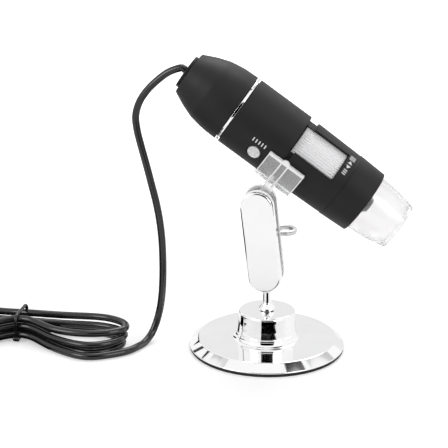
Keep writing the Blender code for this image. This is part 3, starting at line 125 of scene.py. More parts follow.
def add_noise(tree, target, scale, detail=2.0, stretch=(1, 1, 1)):
    place = tree.nodes.new("ShaderNodeTexCoord")
    turn = set_inputs(tree.nodes.new("ShaderNodeMapping"), Scale=stretch)
    noise = set_inputs(tree.nodes.new("ShaderNodeTexNoise"), Scale=scale, Detail=detail)
    tree.links.new(place.outputs["Object"], turn.inputs["Vector"])
    tree.links.new(turn.outputs["Vector"], noise.inputs["Vector"])
    tree.links.new(noise.outputs["Fac"], target)


def add_look(name, colour, roughness, metallic=0.0, shade=None, gloss=None, relief=None, **inputs):
    """Look varied by noises; shade, gloss and relief are a noise's settings and two values each."""
    LOOKS[name], tree, shader = new_material(name, colour, roughness, metallic, **inputs)
    if shade:
        ramp = tree.nodes.new("ShaderNodeValToRGB")
        stops = ramp.color_ramp.elements
        for stop, position, end in zip(stops, (NOISE_LOW, NOISE_HIGH), shade[1:]):
            stop.position = position
            stop.color = (*end, 1)
        add_noise(tree, ramp.inputs["Fac"], *shade[0])
        tree.links.new(ramp.outputs["Color"], shader.inputs["Base Color"])
    if gloss:
        span = tree.nodes.new("ShaderNodeMapRange")
        set_inputs(span, From_Min=NOISE_LOW, From_Max=NOISE_HIGH, To_Min=gloss[1], To_Max=gloss[2])
        add_noise(tree, span.inputs["Value"], *gloss[0])
        tree.links.new(span.outputs["Result"], shader.inputs["Roughness"])
    if relief:
        bump = tree.nodes.new("ShaderNodeBump")
        set_inputs(bump, Strength=relief[1], Distance=relief[2] * MM)
        add_noise(tree, bump.inputs["Height"], *relief[0])
        tree.links.new(bump.outputs["Normal"], shader.inputs["Normal"])
    return tree, shader


def add_chrome(name, low, high):
    shade = ((90,), (0.93, 0.93, 0.935), (0.97, 0.97, 0.975))
    add_look(name, (0.95, 0.95, 0.955), low, 1.0, shade, ((45, 3), low, high))


def add_moulded_black(name, roughness):
    shade = ((150, 3), (0.016, 0.016, 0.017), (0.021, 0.021, 0.022))
    add_look(name, (0.018, 0.018, 0.019), roughness, 0.0, shade, relief=((3000,), 0.2, 0.02))


def add_plain(name, low, high, roughness):
    grain = (900, 3)
    add_look(name, low, roughness, shade=(grain, low, high), relief=(grain, 0.15, 0.02))


def add_clear_plastic(name, milk, roughness, tint, density, glow):
    """Clear moulding: refraction, a little milkiness, grey where it is thick, and a faint painted
    glow that brightens it.
    """
    gloss = ((220, 3), roughness * 0.7, roughness * 1.4)
    tree, shader = add_look(name, tint, roughness, gloss=gloss, IOR=1.49)
    # the emission is painted light: a faint glow that brightens the clear plastic, though it is no
    # lamp
    set_inputs(shader, Transmission_Weight=1 - milk, Emission_Color=WHITE, Emission_Strength=glow)
    depth = tree.nodes.new("ShaderNodeVolumeAbsorption")
    set_inputs(depth, Color=(0.7, 0.7, 0.71, 1), Density=density)
    tree.links.new(depth.outputs["Volume"], tree.nodes["Material Output"].inputs["Volume"])


def add_board(name, dark, light):
    """Circuit board: a fine net of tracks on the colour of its mask."""
    tree, shader = add_look(name, dark, 0.42)
    place = tree.nodes.new("ShaderNodeTexCoord")
    tracks = set_inputs(tree.nodes.new("ShaderNodeTexBrick"), Scale=420, Mortar_Size=0.06)
    set_inputs(tracks, Color1=(*dark, 1), Color2=(*dark, 1), Mortar=(*light, 1))
    tree.links.new(place.outputs["Object"], tracks.inputs["Vector"])
    tree.links.new(tracks.outputs["Color"], shader.inputs["Base Color"])


add_chrome("chrome", 0.025, 0.07)
add_chrome("chrome_soft", 0.05, 0.08)
# painted light: a rougher, partly white copy of the chrome for the rear arm half, so that it stays
# light inside the arm's narrow slot
add_look(
    "chrome_painted_light", (0.93, 0.93, 0.935), 0.3, 0.55,  # inside the arm's narrow slot
    shade=((90,), (0.9, 0.9, 0.905), (0.95, 0.95, 0.955)),
    gloss=((60, 3), 0.22, 0.34),
)
BRUSHED = (400, 3, (1, 1, 12))
add_look(
    "steel", (0.66, 0.66, 0.665), 0.28, 1.0,
    gloss=(BRUSHED, 0.22, 0.4),
    relief=(BRUSHED, 0.3, 0.02),
)
add_look(
    "foot_rubber", (0.012, 0.012, 0.012), 0.8,
    shade=((500, 4), (0.009, 0.009, 0.009), (0.018, 0.018, 0.018)),
    relief=((2500, 3), 0.5, 0.05),
)
add_look(
    "body_plastic", (0.011, 0.0095, 0.0105), 0.55,  # soft-touch coat with fine orange peel
    shade=((60, 4), (0.0095, 0.0085, 0.009), (0.0135, 0.012, 0.013)),
    gloss=((120, 3), 0.5, 0.6),
    relief=((5200,), 0.3, 0.02),
    Specular_IOR_Level=0.3,
)
add_moulded_black("inner_plastic", 0.5)
add_look(
    "silver_plastic", (0.95, 0.95, 0.96), 0.32, 0.1,
    shade=((6000,), (0.93, 0.93, 0.94), (0.99, 0.99, 0.995)),
    gloss=((300,), 0.28, 0.42),
)
add_look(
    "button_plastic", (0.8, 0.8, 0.79), 0.5,
    shade=((1500,), (0.62, 0.61, 0.61), (0.96, 0.95, 0.95)),
    relief=((1500,), 0.6, 0.12),
)
# painted light: the last argument is a glow that makes the clip and nose cap look brighter
add_clear_plastic("clear_plastic", 0.16, 0.05, (0.97, 0.97, 0.975), 8, 0.036)
add_clear_plastic("cap_plastic", 0.06, 0.12, (0.99, 0.983, 0.988), 14, 0.015)
# painted highlight: a milky, glowing copy of the clear plastic, so that the clip's rims, ribs, lips
# and tabs look lit
add_clear_plastic("clear_edge_painted_highlight", 0.8, 0.2, (0.97, 0.97, 0.97), 5, 0.09)
add_look(
    "lens_glass", (0.75, 0.8, 0.9), 0.02,
    shade=((500,), (0.7, 0.76, 0.92), (0.8, 0.82, 0.9)),
    IOR=1.6, Transmission_Weight=0.9, Coat_Weight=0.6, Coat_Tint=(0.6, 0.7, 1, 1),
)
add_board("board", (0.012, 0.09, 0.035), (0.03, 0.16, 0.07))
add_board("board_white", (0.8, 0.8, 0.78), (0.7, 0.66, 0.5))
add_plain("led_lens", (0.86, 0.78, 0.42), (0.92, 0.86, 0.55), 0.3)
add_plain("led_case", (0.84, 0.84, 0.82), (0.9, 0.9, 0.88), 0.45)
add_moulded_black("chip_black", 0.35)
add_plain("connector_plastic", (0.76, 0.75, 0.7), (0.82, 0.81, 0.77), 0.45)
add_look(
    "cord_jacket", (0.008, 0.008, 0.0085), 0.2,
    shade=((130, 4), (0.006, 0.006, 0.0065), (0.011, 0.011, 0.0115)),
    gloss=((160, 3), 0.13, 0.22),
    relief=((300,), 0.1, 0.05),
    Specular_IOR_Level=0.6,
)
add_plain("print_white", (0.8, 0.8, 0.8), (0.88, 0.88, 0.88), 0.5)
add_plain("print_grey", (0.36, 0.36, 0.36), (0.5, 0.5, 0.5), 0.5)
add_look("gold", (0.9, 0.68, 0.32), 0.25, 1.0, gloss=((800,), 0.18, 0.34))


# Shape helpers

def finished(name, shape, look, body, place=None, replaced=None, sharp=32):
    """Piece with its look, riding on a body, in place of one CAD node where one is named."""
    mesh = bpy.data.meshes.new(name)
    if place is not None:
        bmesh.ops.transform(shape, matrix=place, verts=shape.verts)
    shape.to_mesh(mesh)
    shape.free()
    mesh.materials.append(LOOKS[look])
    mesh.shade_smooth()
    mesh.set_sharp_from_angle(angle=math.radians(sharp))
    made = placed(name, mesh)
    if body:
        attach(made, body)
    if replaced:
        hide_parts(replaced)
    return made


def weighted(made):
    change = made.modifiers.new("weighted normals", "WEIGHTED_NORMAL")
    change.keep_sharp = True
    change.weight = 60


def turned(profile, facets):
    """Solid of revolution about Z; a profile that starts off the axis is a closed outline."""
    shape = bmesh.new()
    verts = [shape.verts.new((radius, 0, height)) for radius, height in profile]
    edges = [shape.edges.new(pair) for pair in zip(verts, verts[1:])]
    if profile[0][0] > 0:
        edges.append(shape.edges.new((verts[-1], verts[0])))
    parts = verts + edges
    bmesh.ops.spin(shape, geom=parts, cent=(0, 0, 0), axis=UP, angle=FULL_TURN, steps=facets)
    bmesh.ops.remove_doubles(shape, verts=shape.verts, dist=0.001 * MM)
    bmesh.ops.recalc_face_normals(shape, faces=shape.faces)
    return shape


def eased(corners, steps=5):
    """Closed outline, in metres, of corners in millimetres that carry their own radius."""
    outline = []
    for index, (across, along, radius) in enumerate(corners):
        here = Vector((across, along))
        if not radius:
            outline.append((across * MM, along * MM))
            continue
        back = (Vector(corners[index - 1][:2]) - here).normalized()
        ahead = (Vector(corners[(index + 1) % len(corners)][:2]) - here).normalized()
        half = back.angle(ahead) / 2
        middle = here + (back + ahead).normalized() * (radius / math.sin(half))
        reach = radius / math.tan(half)
        first = (here + back * reach - middle).normalized()
        last = (here + ahead * reach - middle).normalized()
        for step in range(steps + 1):
            point = (middle + first.slerp(last, step / steps) * radius) * MM
            outline.append((point.x, point.y))
    return outline


def lofted(rings):
    """Solid through rings of as many points each, closed at both ends."""
    shape = bmesh.new()
    loops = [[shape.verts.new(point) for point in loop] for loop in rings]
    for lower, upper in zip(loops, loops[1:]):
        for index in range(len(lower)):
            after = (index + 1) % len(lower)
            shape.faces.new((lower[index], lower[after], upper[after], upper[index]))
    shape.faces.new(loops[0])
    shape.faces.new(loops[-1])
    bmesh.ops.recalc_face_normals(shape, faces=shape.faces)
    return shape


def extruded(outline, axis, ends):
    """Solid along an axis, 0 to 2, between two ends, from an outline in millimetres across it."""
    rings = []
    for end in ends:
        places = [(*pair[:axis], end, *pair[axis:]) for pair in outline]
        rings.append([(x * MM, y * MM, z * MM) for x, y, z in places])
    return lofted(rings)


def block(low, high):
    corners = [low[:2], (high[0], low[1]), high[:2], (low[0], high[1])]
    return extruded(corners, 2, (low[2], high[2]))


def rod(radius, start, end, facets):
    corners = [(0, start, 0), (radius, start, 0), (radius, end, 0), (0, end, 0)]
    return turned(eased(corners), facets)


def boolean(shape, tool, operation, matrix=None):
    """Result of one exact Boolean of two shapes, the tool moved by the matrix."""
    if matrix is not None:
        bmesh.ops.transform(tool, matrix=matrix, verts=tool.verts)
    objects = []
    for item in (shape, tool):
        mesh = bpy.data.meshes.new("boolean part")
        item.to_mesh(mesh)
        item.free()
        objects.append(placed("boolean part", mesh))
    change = objects[0].modifiers.new("boolean", "BOOLEAN")
    change.operation = operation
    change.solver = "EXACT"
    change.object = objects[1]
    evaluated = objects[0].evaluated_get(bpy.context.evaluated_depsgraph_get())
    result = bmesh.new()
    result.from_mesh(evaluated.to_mesh())
    evaluated.to_mesh_clear()
    for made in objects:
        mesh = made.data
        bpy.data.objects.remove(made)
        bpy.data.meshes.remove(mesh)
    return result


def rounded(made, width, angle=40):
    """Small moulded break on edges sharper than the angle."""
    change = made.modifiers.new("edges", "BEVEL")
    change.width = width * MM
    change.segments = 2
    change.limit_method = "ANGLE"
    change.angle_limit = math.radians(angle)


def basis(origin, x, y, z):
    turn = Matrix((Vector(x), Vector(y), Vector(z))).transposed().to_4x4()
    return Matrix.Translation(Vector(origin)) @ turn


# Frames of the moving pieces, in metres

TILT = math.radians(35)
AXIS = Vector((math.cos(TILT), 0, -math.sin(TILT)))
NORMAL = Vector((math.sin(TILT), 0, math.cos(TILT)))
SIDE = Vector((0, 1, 0))
ARM_LEAN = math.radians(-6.8)
ARM_LENGTH = 37.06
LOWER_BALL = Vector((0, 0, 32.3)) * MM
ARM = Matrix.Translation(LOWER_BALL) @ Matrix.Rotation(ARM_LEAN, 4, "Y")
UPPER_BALL = ARM @ Vector((0, 0, ARM_LENGTH * MM))
STEM_LENGTH = 28.0
STEM_STATION = 30.8
CLIP = basis(UPPER_BALL, AXIS, SIDE, NORMAL)
SCOPE_ORIGIN = UPPER_BALL + NORMAL * STEM_LENGTH * MM - AXIS * STEM_STATION * MM
SCOPE = basis(SCOPE_ORIGIN, NORMAL, -SIDE, AXIS)
CLAMP_PLACE = ARM @ Vector((0, 0, ARM_LENGTH / 2 * MM))


# Stand

BALL_RADIUS = 4.2
POST_RADIUS = 2.05
STEM_RADIUS = 2.4


def make_base():
    corners = [
        (7.0, 1.5, 0), (7.0, 8.3, 0), (2.05, 8.3, 0), (2.05, 17.9, 0.2), (12.8, 17.9, 1.1),
        (12.86, 14.6, 3), (13.12, 11.3, 3), (13.5, 8.0, 0.4), (14.0, 8.0, 0.3),
        (14.0, 5.1, 2.4), (31.0, 5.1, 1.2), (35.0, 2.0, 0.35), (35.0, 1.5, 0.2),
    ]
    shape = turned(eased(corners, 6), 256)
    weighted(finished("base_chrome", shape, "chrome_soft", "stand", None, "base"))


def make_post():
    corners = [
        (0, 2.6, 0), (1.75, 2.6, 0), (1.75, 18.2, 0), (3.65, 18.2, 0.15), (3.65, 19.0, 0.3),
        (POST_RADIUS, 21.2, 1.5), (POST_RADIUS, 28.3, 0.1), (0, 28.3, 0),
    ]
    shape = turned(eased(corners), 64)
    weighted(finished("post_chrome", shape, "chrome", "stand", replaced="ball_post"))


def ball_profile(radius, neck, steps=40):
    start = math.asin(neck / radius)
    profile = [(0, -math.sqrt(radius**2 - neck**2) * MM)]
    for step in range(steps + 1):
        angle = start + (math.pi - start) * step / steps
        profile.append((radius * math.sin(angle) * MM, -radius * math.cos(angle) * MM))
    profile[-1] = (0, radius * MM)
    return profile


def make_ball(name, neck, look, body, place):
    """Ball on a neck, in place of the CAD node with its body's name."""
    shape = turned(ball_profile(BALL_RADIUS, neck), 64)
    finished(name, shape, look, body, place, body)


ARM_HALF_WIDTH = 7.4
ARM_TOP_OVERHANG = 5.6
ARM_FOOT_OVERHANG = 4.3
ARM_FACE = 7.1
ARM_RIM = 3.0
ARM_SHEET = 1.0
ARM_ROUND = 1.2
ARM_BREAK = 0.15  # edge break of the rim
ARM_ROUND_STEPS = 12
ARM_END_STEPS = 40
END_BOSS_RADIUS = 4.0
MIDDLE_BOSS_RADIUS = 4.3
MIDDLE_BOSS_LOW = 0.8
SEAT_RADIUS = 4.5
SEAT_NECK = 0.3


def arm_outline(inset, depth):
    radius = ARM_HALF_WIDTH - inset
    points = []
    for end, overhang in ((1, ARM_TOP_OVERHANG), (-1, ARM_FOOT_OVERHANG)):
        reach = ARM_LENGTH / 2 + overhang - ARM_HALF_WIDTH
        for step in range(ARM_END_STEPS + 1):
            angle = math.pi * (step / ARM_END_STEPS) + (0 if end > 0 else math.pi)
            across = radius * math.cos(angle)
            along = ARM_LENGTH / 2 + end * reach + radius * math.sin(angle)
            points.append((across * MM, depth * MM, along * MM))
    return points


def arm_half(name, side, node):
    """Dished half of the arm: a thin shell with three bosses and a ball seat at each end."""
    floor = ARM_FACE - ARM_SHEET
    profile = []
    for step in range(ARM_ROUND_STEPS + 1):
        angle = math.pi / 2 * step / ARM_ROUND_STEPS
        inset = ARM_ROUND * (1 - math.sin(angle))
        profile.append((inset, ARM_FACE - ARM_ROUND * (1 - math.cos(angle))))
    profile += [
        (0, ARM_RIM + ARM_BREAK), (ARM_BREAK, ARM_RIM), (ARM_SHEET - ARM_BREAK, ARM_RIM),
        (ARM_SHEET, ARM_RIM + ARM_BREAK), (ARM_SHEET, floor - 0.6),
        (ARM_SHEET + 0.2, floor - 0.2), (ARM_SHEET + 0.6, floor),
    ]
    shape = lofted([arm_outline(inset, side * depth) for inset, depth in profile])
    across = Matrix.Rotation(-math.pi / 2, 4, "X")
    bosses = [
        (0, END_BOSS_RADIUS, ARM_RIM), (ARM_LENGTH, END_BOSS_RADIUS, ARM_RIM),
        (ARM_LENGTH / 2, MIDDLE_BOSS_RADIUS, MIDDLE_BOSS_LOW),
    ]
    for along, radius, low in bosses:
        start, end = sorted((side * low, side * (floor + 0.5)))
        boss = rod(radius, start, end, 64)
        shape = boolean(shape, boss, "UNION", Matrix.Translation((0, 0, along * MM)) @ across)
    for along in (0, ARM_LENGTH):
        seat = turned(ball_profile(SEAT_RADIUS, SEAT_NECK), 64)
        shape = boolean(shape, seat, "DIFFERENCE", Matrix.Translation((0, 0, along * MM)))
    # the rear half takes the painted-light copy of the chrome
    look = "chrome" if side < 0 else "chrome_painted_light"
    weighted(finished(name, shape, look, "arm", ARM, node))


def make_clamp_screw():
    """Screw across the arm's middle, with a loop lever and a web that joins it."""
    corners = [
        (0, -4.1, 0), (1.5, -4.1, 0.2), (1.5, 7.4, 0), (3.5, 7.4, 0.3), (3.5, 12.0, 0.8),
        (0, 12.0, 0),
    ]
    shape = turned(eased(corners), 64)
    loop_corners = [(3.3, -1.15, 0.5), (5.2, -1.15, 0.7), (5.2, 1.15, 0.7), (3.3, 1.15, 0.5)]
    loop = turned(eased(loop_corners), 96)
    place = Matrix.Translation((8.1 * MM, 0, 15.6 * MM)) @ Matrix.Rotation(math.pi / 2, 4, "X")
    place = place @ Matrix.Diagonal((1, 1.16, 1, 1))
    shape = boolean(shape, loop, "UNION", place)
    web = extruded([(0, 8.4), (8.1, 10.2), (3.3, 15.0), (0, 11.5)], 1, (-0.8, 0.8))
    shape = boolean(shape, web, "UNION")
    across = Matrix.Translation(CLAMP_PLACE) @ Matrix.Rotation(-math.pi / 2, 4, "X")
    finished("clamp_screw_chrome", shape, "steel", "clamp_screw", across, "clamp_screw")


make_base()
make_post()
make_ball("lower_ball_chrome", POST_RADIUS, "chrome", "lower_ball", Matrix.Translation(LOWER_BALL))
arm_half("arm_front_chrome", -1, "arm_front")
arm_half("arm_rear_chrome", 1, "arm_rear")
make_clamp_screw()


# Clip

CLIP_START = 21.5 - STEM_STATION  # along the microscope's axis, from the stem
CLIP_END = 39.4 - STEM_STATION
CLIP_BORE = 16.4
CLIP_OUTER = CLIP_BORE + 1.4
CLIP_STEPS = 96
LIP_OUTER = CLIP_BORE + 2.1
LIP_ARC = math.radians(6)
LIP_STEPS = 4
MOUTH_DROP = math.radians(5)
FIRST_LIP = -MOUTH_DROP  # the clip runs from this angle over the top to the other
LAST_LIP = -math.pi + MOUTH_DROP
RIM_WIDTH = 0.45
RIB_WIDTH = 0.6
RIB_STARTS = (-2.9, 0.3)
TAB_MIDDLE = 29.9 - STEM_STATION
TAB_HALF_WIDTH = 1.7
TAB_HEIGHT = 1.1
TAB_STEPS = 16
SKIN = 0.02  # an edge strip stands out by this, so that it is seen


def clip_arc(radius, first, last, steps):
    points = []
    for step in range(steps + 1):
        angle = first + (last - first) * step / steps
        points.append((-radius * math.cos(angle), STEM_LENGTH + radius * math.sin(angle)))
    return points


def make_clip():
    outline = clip_arc(LIP_OUTER, FIRST_LIP, FIRST_LIP - LIP_ARC, LIP_STEPS)
    outline += clip_arc(CLIP_OUTER, FIRST_LIP - LIP_ARC, LAST_LIP + LIP_ARC, CLIP_STEPS)
    outline += clip_arc(LIP_OUTER, LAST_LIP + LIP_ARC, LAST_LIP, LIP_STEPS)
    outline += clip_arc(CLIP_BORE, LAST_LIP, FIRST_LIP, CLIP_STEPS)
    shape = extruded(outline, 0, (CLIP_START, CLIP_END))
    stem = rod(STEM_RADIUS, 3.75, STEM_LENGTH - CLIP_OUTER + 0.7, 48)
    shape = boolean(shape, stem, "UNION")
    rounded(finished("clip_clear", shape, "clear_plastic", "clip", CLIP, "clip"), 0.12)


def edge_piece(name, outline, axis, ends, width):
    """Piece of the clip where the clear wall is seen along its thickness, with a painted highlight:
    a milky, faintly glowing look.
    """
    shape = extruded(outline, axis, ends)
    rounded(finished(name, shape, "clear_edge_painted_highlight", "clip", CLIP), width)


def clip_edge(name, inner, outer, arc, ends, steps=CLIP_STEPS):
    first, last = arc
    outline = clip_arc(outer, first, last, steps) + clip_arc(inner, last, first, steps)
    edge_piece(name, outline, 0, ends, 0.1)


# The clip's rims, ribs, lips and tabs, each a piece in the painted-highlight look.
def make_clip_edges():
    arc = (FIRST_LIP - LIP_ARC / 2, LAST_LIP + LIP_ARC / 2)
    for number, at in enumerate((CLIP_START - SKIN, CLIP_END + SKIN - RIM_WIDTH), 1):
        ends = (at, at + RIM_WIDTH)
        clip_edge(f"clip_rim_{number}", CLIP_BORE + 0.3, CLIP_OUTER + 0.05, arc, ends)
    for number, at in enumerate(RIB_STARTS, 1):
        ends = (at, at + RIB_WIDTH)
        clip_edge(f"clip_rib_{number}", CLIP_OUTER - 0.4, CLIP_OUTER + 0.9, arc, ends)
    ends = (CLIP_START - SKIN, CLIP_END + SKIN)
    for number, (edge, turn) in enumerate(((FIRST_LIP, -1), (LAST_LIP, 1)), 1):
        arc = (edge, edge + turn * LIP_ARC * 0.6)
        clip_edge(f"clip_lip_{number}", CLIP_BORE + 0.1, LIP_OUTER + 0.04, arc, ends, LIP_STEPS)
    mouth = STEM_LENGTH - LIP_OUTER * math.sin(MOUTH_DROP)
    for number, side in enumerate((-1, 1), 1):
        tab = [(TAB_MIDDLE + TAB_HALF_WIDTH, mouth - 1.0)]
        for step in range(TAB_STEPS + 1):
            angle = math.pi * step / TAB_STEPS
            across = TAB_MIDDLE + TAB_HALF_WIDTH * math.cos(angle)
            tab.append((across, mouth + TAB_HEIGHT * math.sin(angle)))
        tab.append((TAB_MIDDLE - TAB_HALF_WIDTH, mouth - 1.0))
        ends = (side * (CLIP_BORE + 0.15), side * (LIP_OUTER - 0.15))
        edge_piece(f"clip_tab_{number}", tab, 1, ends, 0.15)


make_clip()
make_clip_edges()
upside_down = CLIP @ Matrix.Rotation(math.pi, 4, "X")
make_ball("clip_ball_clear", STEM_RADIUS, "clear_plastic", "clip_ball", upside_down)


# Microscope, in its own frame: Z along the axis to the nose, X up, Y towards the viewer

BODY = "microscope"


def radial(angle, station=0.0):
    """Frame whose Z points out of the axis at the angle, and whose Y runs to the nose."""
    out = Vector((math.sin(angle), math.cos(angle), 0))
    return Matrix.Translation((0, 0, station * MM)) @ basis((0, 0, 0), UP.cross(out), UP, out)


def on_scope(name, shape, look, node, body=BODY, sharp=32):
    return finished(name, shape, look, body, SCOPE, node, sharp)


def make_rear_housing():
    corners = [
        (13.2, 5.0, 0), (13.2, -7.6, 0), (13.1, -14.4, 0), (11.1, -20.2, 0),
        (8.2, -24.7, 0), (3.5, -24.7, 0), (3.5, -26.3, 0), (9.8, -26.3, 0.9),
        (12.7, -20.2, 14), (14.75, -14.4, 10), (15.85, -7.6, 40), (16.05, -0.85, 0.25),
        (14.4, -0.85, 0), (14.4, 5.0, 0),
    ]
    shape = turned(eased(corners, 8), 192)
    weighted(on_scope("tail_housing", shape, "body_plastic", "rear_housing"))


def make_grommet():
    corners = [
        (0, -27.8, 0), (1.95, -27.8, 0.25), (2.35, -27.25, 0.2), (6.4, -27.25, 0.15),
        (6.75, -27.8, 0.2), (7.7, -27.8, 0.35), (7.7, -26.6, 0), (3.2, -26.6, 0),
        (3.2, -24.4, 0), (4.6, -24.4, 0), (4.6, -22.8, 0), (0, -22.8, 0),
    ]
    shape = turned(eased(corners, 4), 96)
    on_scope("tail_grommet", shape, "body_plastic", "cable_grommet")


def make_trim_ring():
    corners = [(14.7, -0.55, 0), (16.2, -0.55, 0.12), (16.2, 0.55, 0.12), (14.7, 0.55, 0)]
    shape = turned(eased(corners), 192)
    weighted(on_scope("trim_ring_chrome", shape, "chrome", "trim_ring"))


BUTTON_ANGLE = math.radians(-26.3)
BUTTON_STATION = 16.1
SLEEVE_RADIUS = 16.1


def make_sleeve():
    corners = [
        (14.7, 0.85, 0), (SLEEVE_RADIUS, 0.85, 0.3), (SLEEVE_RADIUS, 27.8, 0.35),
        (14.7, 27.8, 0),
    ]
    shape = turned(eased(corners), 192)
    well = rod(3.3, 12, 19, 64)
    shape = boolean(shape, well, "DIFFERENCE", radial(BUTTON_ANGLE, BUTTON_STATION))
    weighted(on_scope("body_sleeve_shell", shape, "body_plastic", "body_sleeve"))


def make_button():
    """Round key: rim, flat and a shallow dish on top."""
    corners = [
        (0, 12.0, 0), (3.9, 12.0, 0.1), (3.9, 12.8, 0.1), (2.85, 12.8, 0),
        (2.85, 16.4, 0.35), (2.35, 16.4, 0.2), (2.1, 16.22, 0.2), (0, 16.22, 0),
    ]
    shape = turned(eased(corners), 64)
    place = SCOPE @ radial(BUTTON_ANGLE, BUTTON_STATION)
    finished("button_cap", shape, "button_plastic", "snap_button", place, "snap_button")


WINDOW_ANGLE = math.radians(43.4)
COLLAR_RADIUS = 15.7  # the front shell tapers from its collar to its waist
COLLAR_STATION = 30.1
WAIST_RADIUS = 15.1
WAIST_STATION = 55.1


def make_front_shell():
    """Shell with a window on both sides; its collar starts farther forward on one half."""
    corners = [
        (13.85, 21.0, 0), (14.4, 21.0, 0), (14.4, 30.1, 0),
        (COLLAR_RADIUS, COLLAR_STATION, 0.35), (WAIST_RADIUS, WAIST_STATION, 0.3),
        (15.27, 55.1, 0.1), (14.7, 67.9, 0.45), (13.3, 67.9, 0.1), (13.3, 65.0, 0),
        (11.9, 65.0, 0), (11.9, 63.3, 0), (13.3, 63.3, 0), (13.3, 51.6, 0), (11.9, 51.6, 0),
        (11.9, 50.1, 0), (13.85, 50.1, 0),
    ]
    shape = turned(eased(corners), 192)
    for angle in (WINDOW_ANGLE, WINDOW_ANGLE + math.pi):
        opening = block((-6.9, 20.0, 11.4), (7.6, 50.0, 18.1))
        shape = boolean(shape, opening, "DIFFERENCE", radial(angle))
    relief = turned(eased([(14.4, 28.1, 0), (18.1, 28.1, 0), (18.1, 32.1, 0), (14.4, 32.1, 0)]), 96)
    half = block((-20, -20, 20), (20, 0, 40))
    away = Matrix.Rotation(-WINDOW_ANGLE - math.pi / 2, 4, "Z")
    shape = boolean(shape, boolean(relief, half, "DIFFERENCE", away), "DIFFERENCE")
    on_scope("front_shell_body", shape, "body_plastic", "front_shell")


WHEEL_RADIUS = 13.55
WHEEL_ENDS = ((28.4, 0.35), (28.65, 0.08), (28.9, 0), (49.3, 0), (49.55, 0.08), (49.8, 0.35))
RIBS = 68
RIB_DEPTH = 0.6
RIB_POINTS = 8


def make_wheel():
    """Focus wheel with rounded ribs and eased ends."""
    count = RIBS * RIB_POINTS
    outlines = []
    for z, shrink in WHEEL_ENDS:
        outline = []
        for step in range(count):
            groove = (0.5 - 0.5 * math.cos(FULL_TURN * (step / RIB_POINTS % 1))) ** 3
            radius = WHEEL_RADIUS - shrink - RIB_DEPTH * groove
            angle = FULL_TURN * step / count
            outline.append((radius * math.cos(angle) * MM, radius * math.sin(angle) * MM, z * MM))
        outlines.append(outline)
    bore = rod(11.9, 20, 60, 96)
    shape = boolean(lofted(outlines), bore, "DIFFERENCE")
    on_scope("wheel_ribbed", shape, "silver_plastic", "focus_wheel", "focus_wheel")


def make_barrel():
    corners = [
        (1.7, 52.0, 0), (4.2, 52.0, 0), (4.2, 55.0, 0), (5.6, 55.0, 0), (5.6, 56.2, 0),
        (4.2, 56.2, 0), (4.2, 66.6, 0.2), (4.4, 66.9, 0.1), (4.4, 69.0, 0.2),
        (2.9, 70.9, 0.2), (1.7, 70.9, 0.1),
    ]
    shape = turned(eased(corners, 4), 96)
    on_scope("lens_barrel_tip", shape, "inner_plastic", "lens_barrel", "lens_carrier")


LENS_RADIUS = 1.4
LENS_FOOT = 69.3
LENS_EDGE = 70.25
LENS_TOP = 70.5
LENS_STEPS = 8


def make_front_lens():
    profile = [(0, LENS_FOOT * MM), (LENS_RADIUS * MM, LENS_FOOT * MM)]
    for step in range(LENS_STEPS):
        share = step / LENS_STEPS
        height = LENS_EDGE + (LENS_TOP - LENS_EDGE) * math.sin(share * math.pi / 2)
        profile.append((LENS_RADIUS * (1 - share) * MM, height * MM))
    profile.append((0, LENS_TOP * MM))
    on_scope("front_lens_glass", turned(profile, 48), "lens_glass", "front_lens", "lens_carrier")


CAP_START = 67.9
CAP_LENGTH = 18.2
CAP_WALL = 1.5
CAP_LIP = 2.4  # thickness of the ring round its opening
CAP_STEPS = 12


def cap_outer(share):
    """Outer radius of the cap at a share of its length: a slightly bellied taper."""
    return 13.0 - 2.3 * share + 0.55 * math.sin(math.pi * share)


def make_nose_cap():
    corners = [(13.0, 66.4, 0)]
    for step in range(CAP_STEPS):
        share = step / CAP_STEPS
        corners.append((cap_outer(share), CAP_START + CAP_LENGTH * share, 0))
    corners += [(10.7, 86.1, 0.4), (8.6, 86.1, 0.3), (8.6, 83.7, 0.4)]
    for step in range(CAP_STEPS, -1, -1):
        share = (1 - CAP_LIP / CAP_LENGTH) * step / CAP_STEPS
        corners.append((cap_outer(share) - CAP_WALL, CAP_START + CAP_LENGTH * share, 0))
    corners.append((11.5, 66.4, 0))
    shape = turned(eased(corners), 192)
    on_scope("nose_cap_clear", shape, "cap_plastic", "nose_cap", BODY, 50)


LED_COUNT = 8
LED_RING = 8.2


def make_leds():
    """Surface lamps round the lens: a pale case with a yellow window each."""
    window = [(0, 66.9, 0), (0.68, 66.9, 0), (0.68, 67.1, 0.08), (0, 67.1, 0)]
    for index in range(LED_COUNT):
        turn = Matrix.Rotation(FULL_TURN * index / LED_COUNT, 4, "Z")
        place = SCOPE @ turn @ Matrix.Translation((LED_RING * MM, 0, 0))
        name = f"lamp_{index + 1}"
        case = block((-0.9, -0.9, 66.4), (0.9, 0.9, 66.98))
        lamp = finished(name, case, "led_case", BODY, place, f"led_{index + 1}")
        rounded(lamp, 0.1, 30)
        glow = turned(eased(window, 3), 32)
        finished(f"{name}_window", glow, "led_lens", BODY, place)


make_rear_housing()
make_grommet()
make_trim_ring()
make_sleeve()
make_button()
make_front_shell()
make_wheel()
make_barrel()
make_front_lens()
make_nose_cap()
make_leds()


# Plain printed marks

MARK_STATION = 51.9
PRINT_LIFTS = (0.004, 0.03)  # foot and face of the print, above the surface


def wrapped(outline, radius, station, angle, look, name):
    """Thin print on the shell: outline in (round, along) millimetres about a place on it."""
    rings = []
    for lift in PRINT_LIFTS:
        ring = []
        for across, along in outline:
            turn = angle + across / radius
            x = (radius + lift) * math.sin(turn) * MM
            y = (radius + lift) * math.cos(turn) * MM
            ring.append((x, y, (station + along) * MM))
        rings.append(ring)
    finished(name, lofted(rings), look, BODY, SCOPE)


def shell_radius(station):
    share = (station - COLLAR_STATION) / (WAIST_STATION - COLLAR_STATION)
    return COLLAR_RADIUS + (WAIST_RADIUS - COLLAR_RADIUS) * share


def strip(low, width, foot, head):
    return [(low, foot), (low + width, foot), (low + width, head), (low, head)]


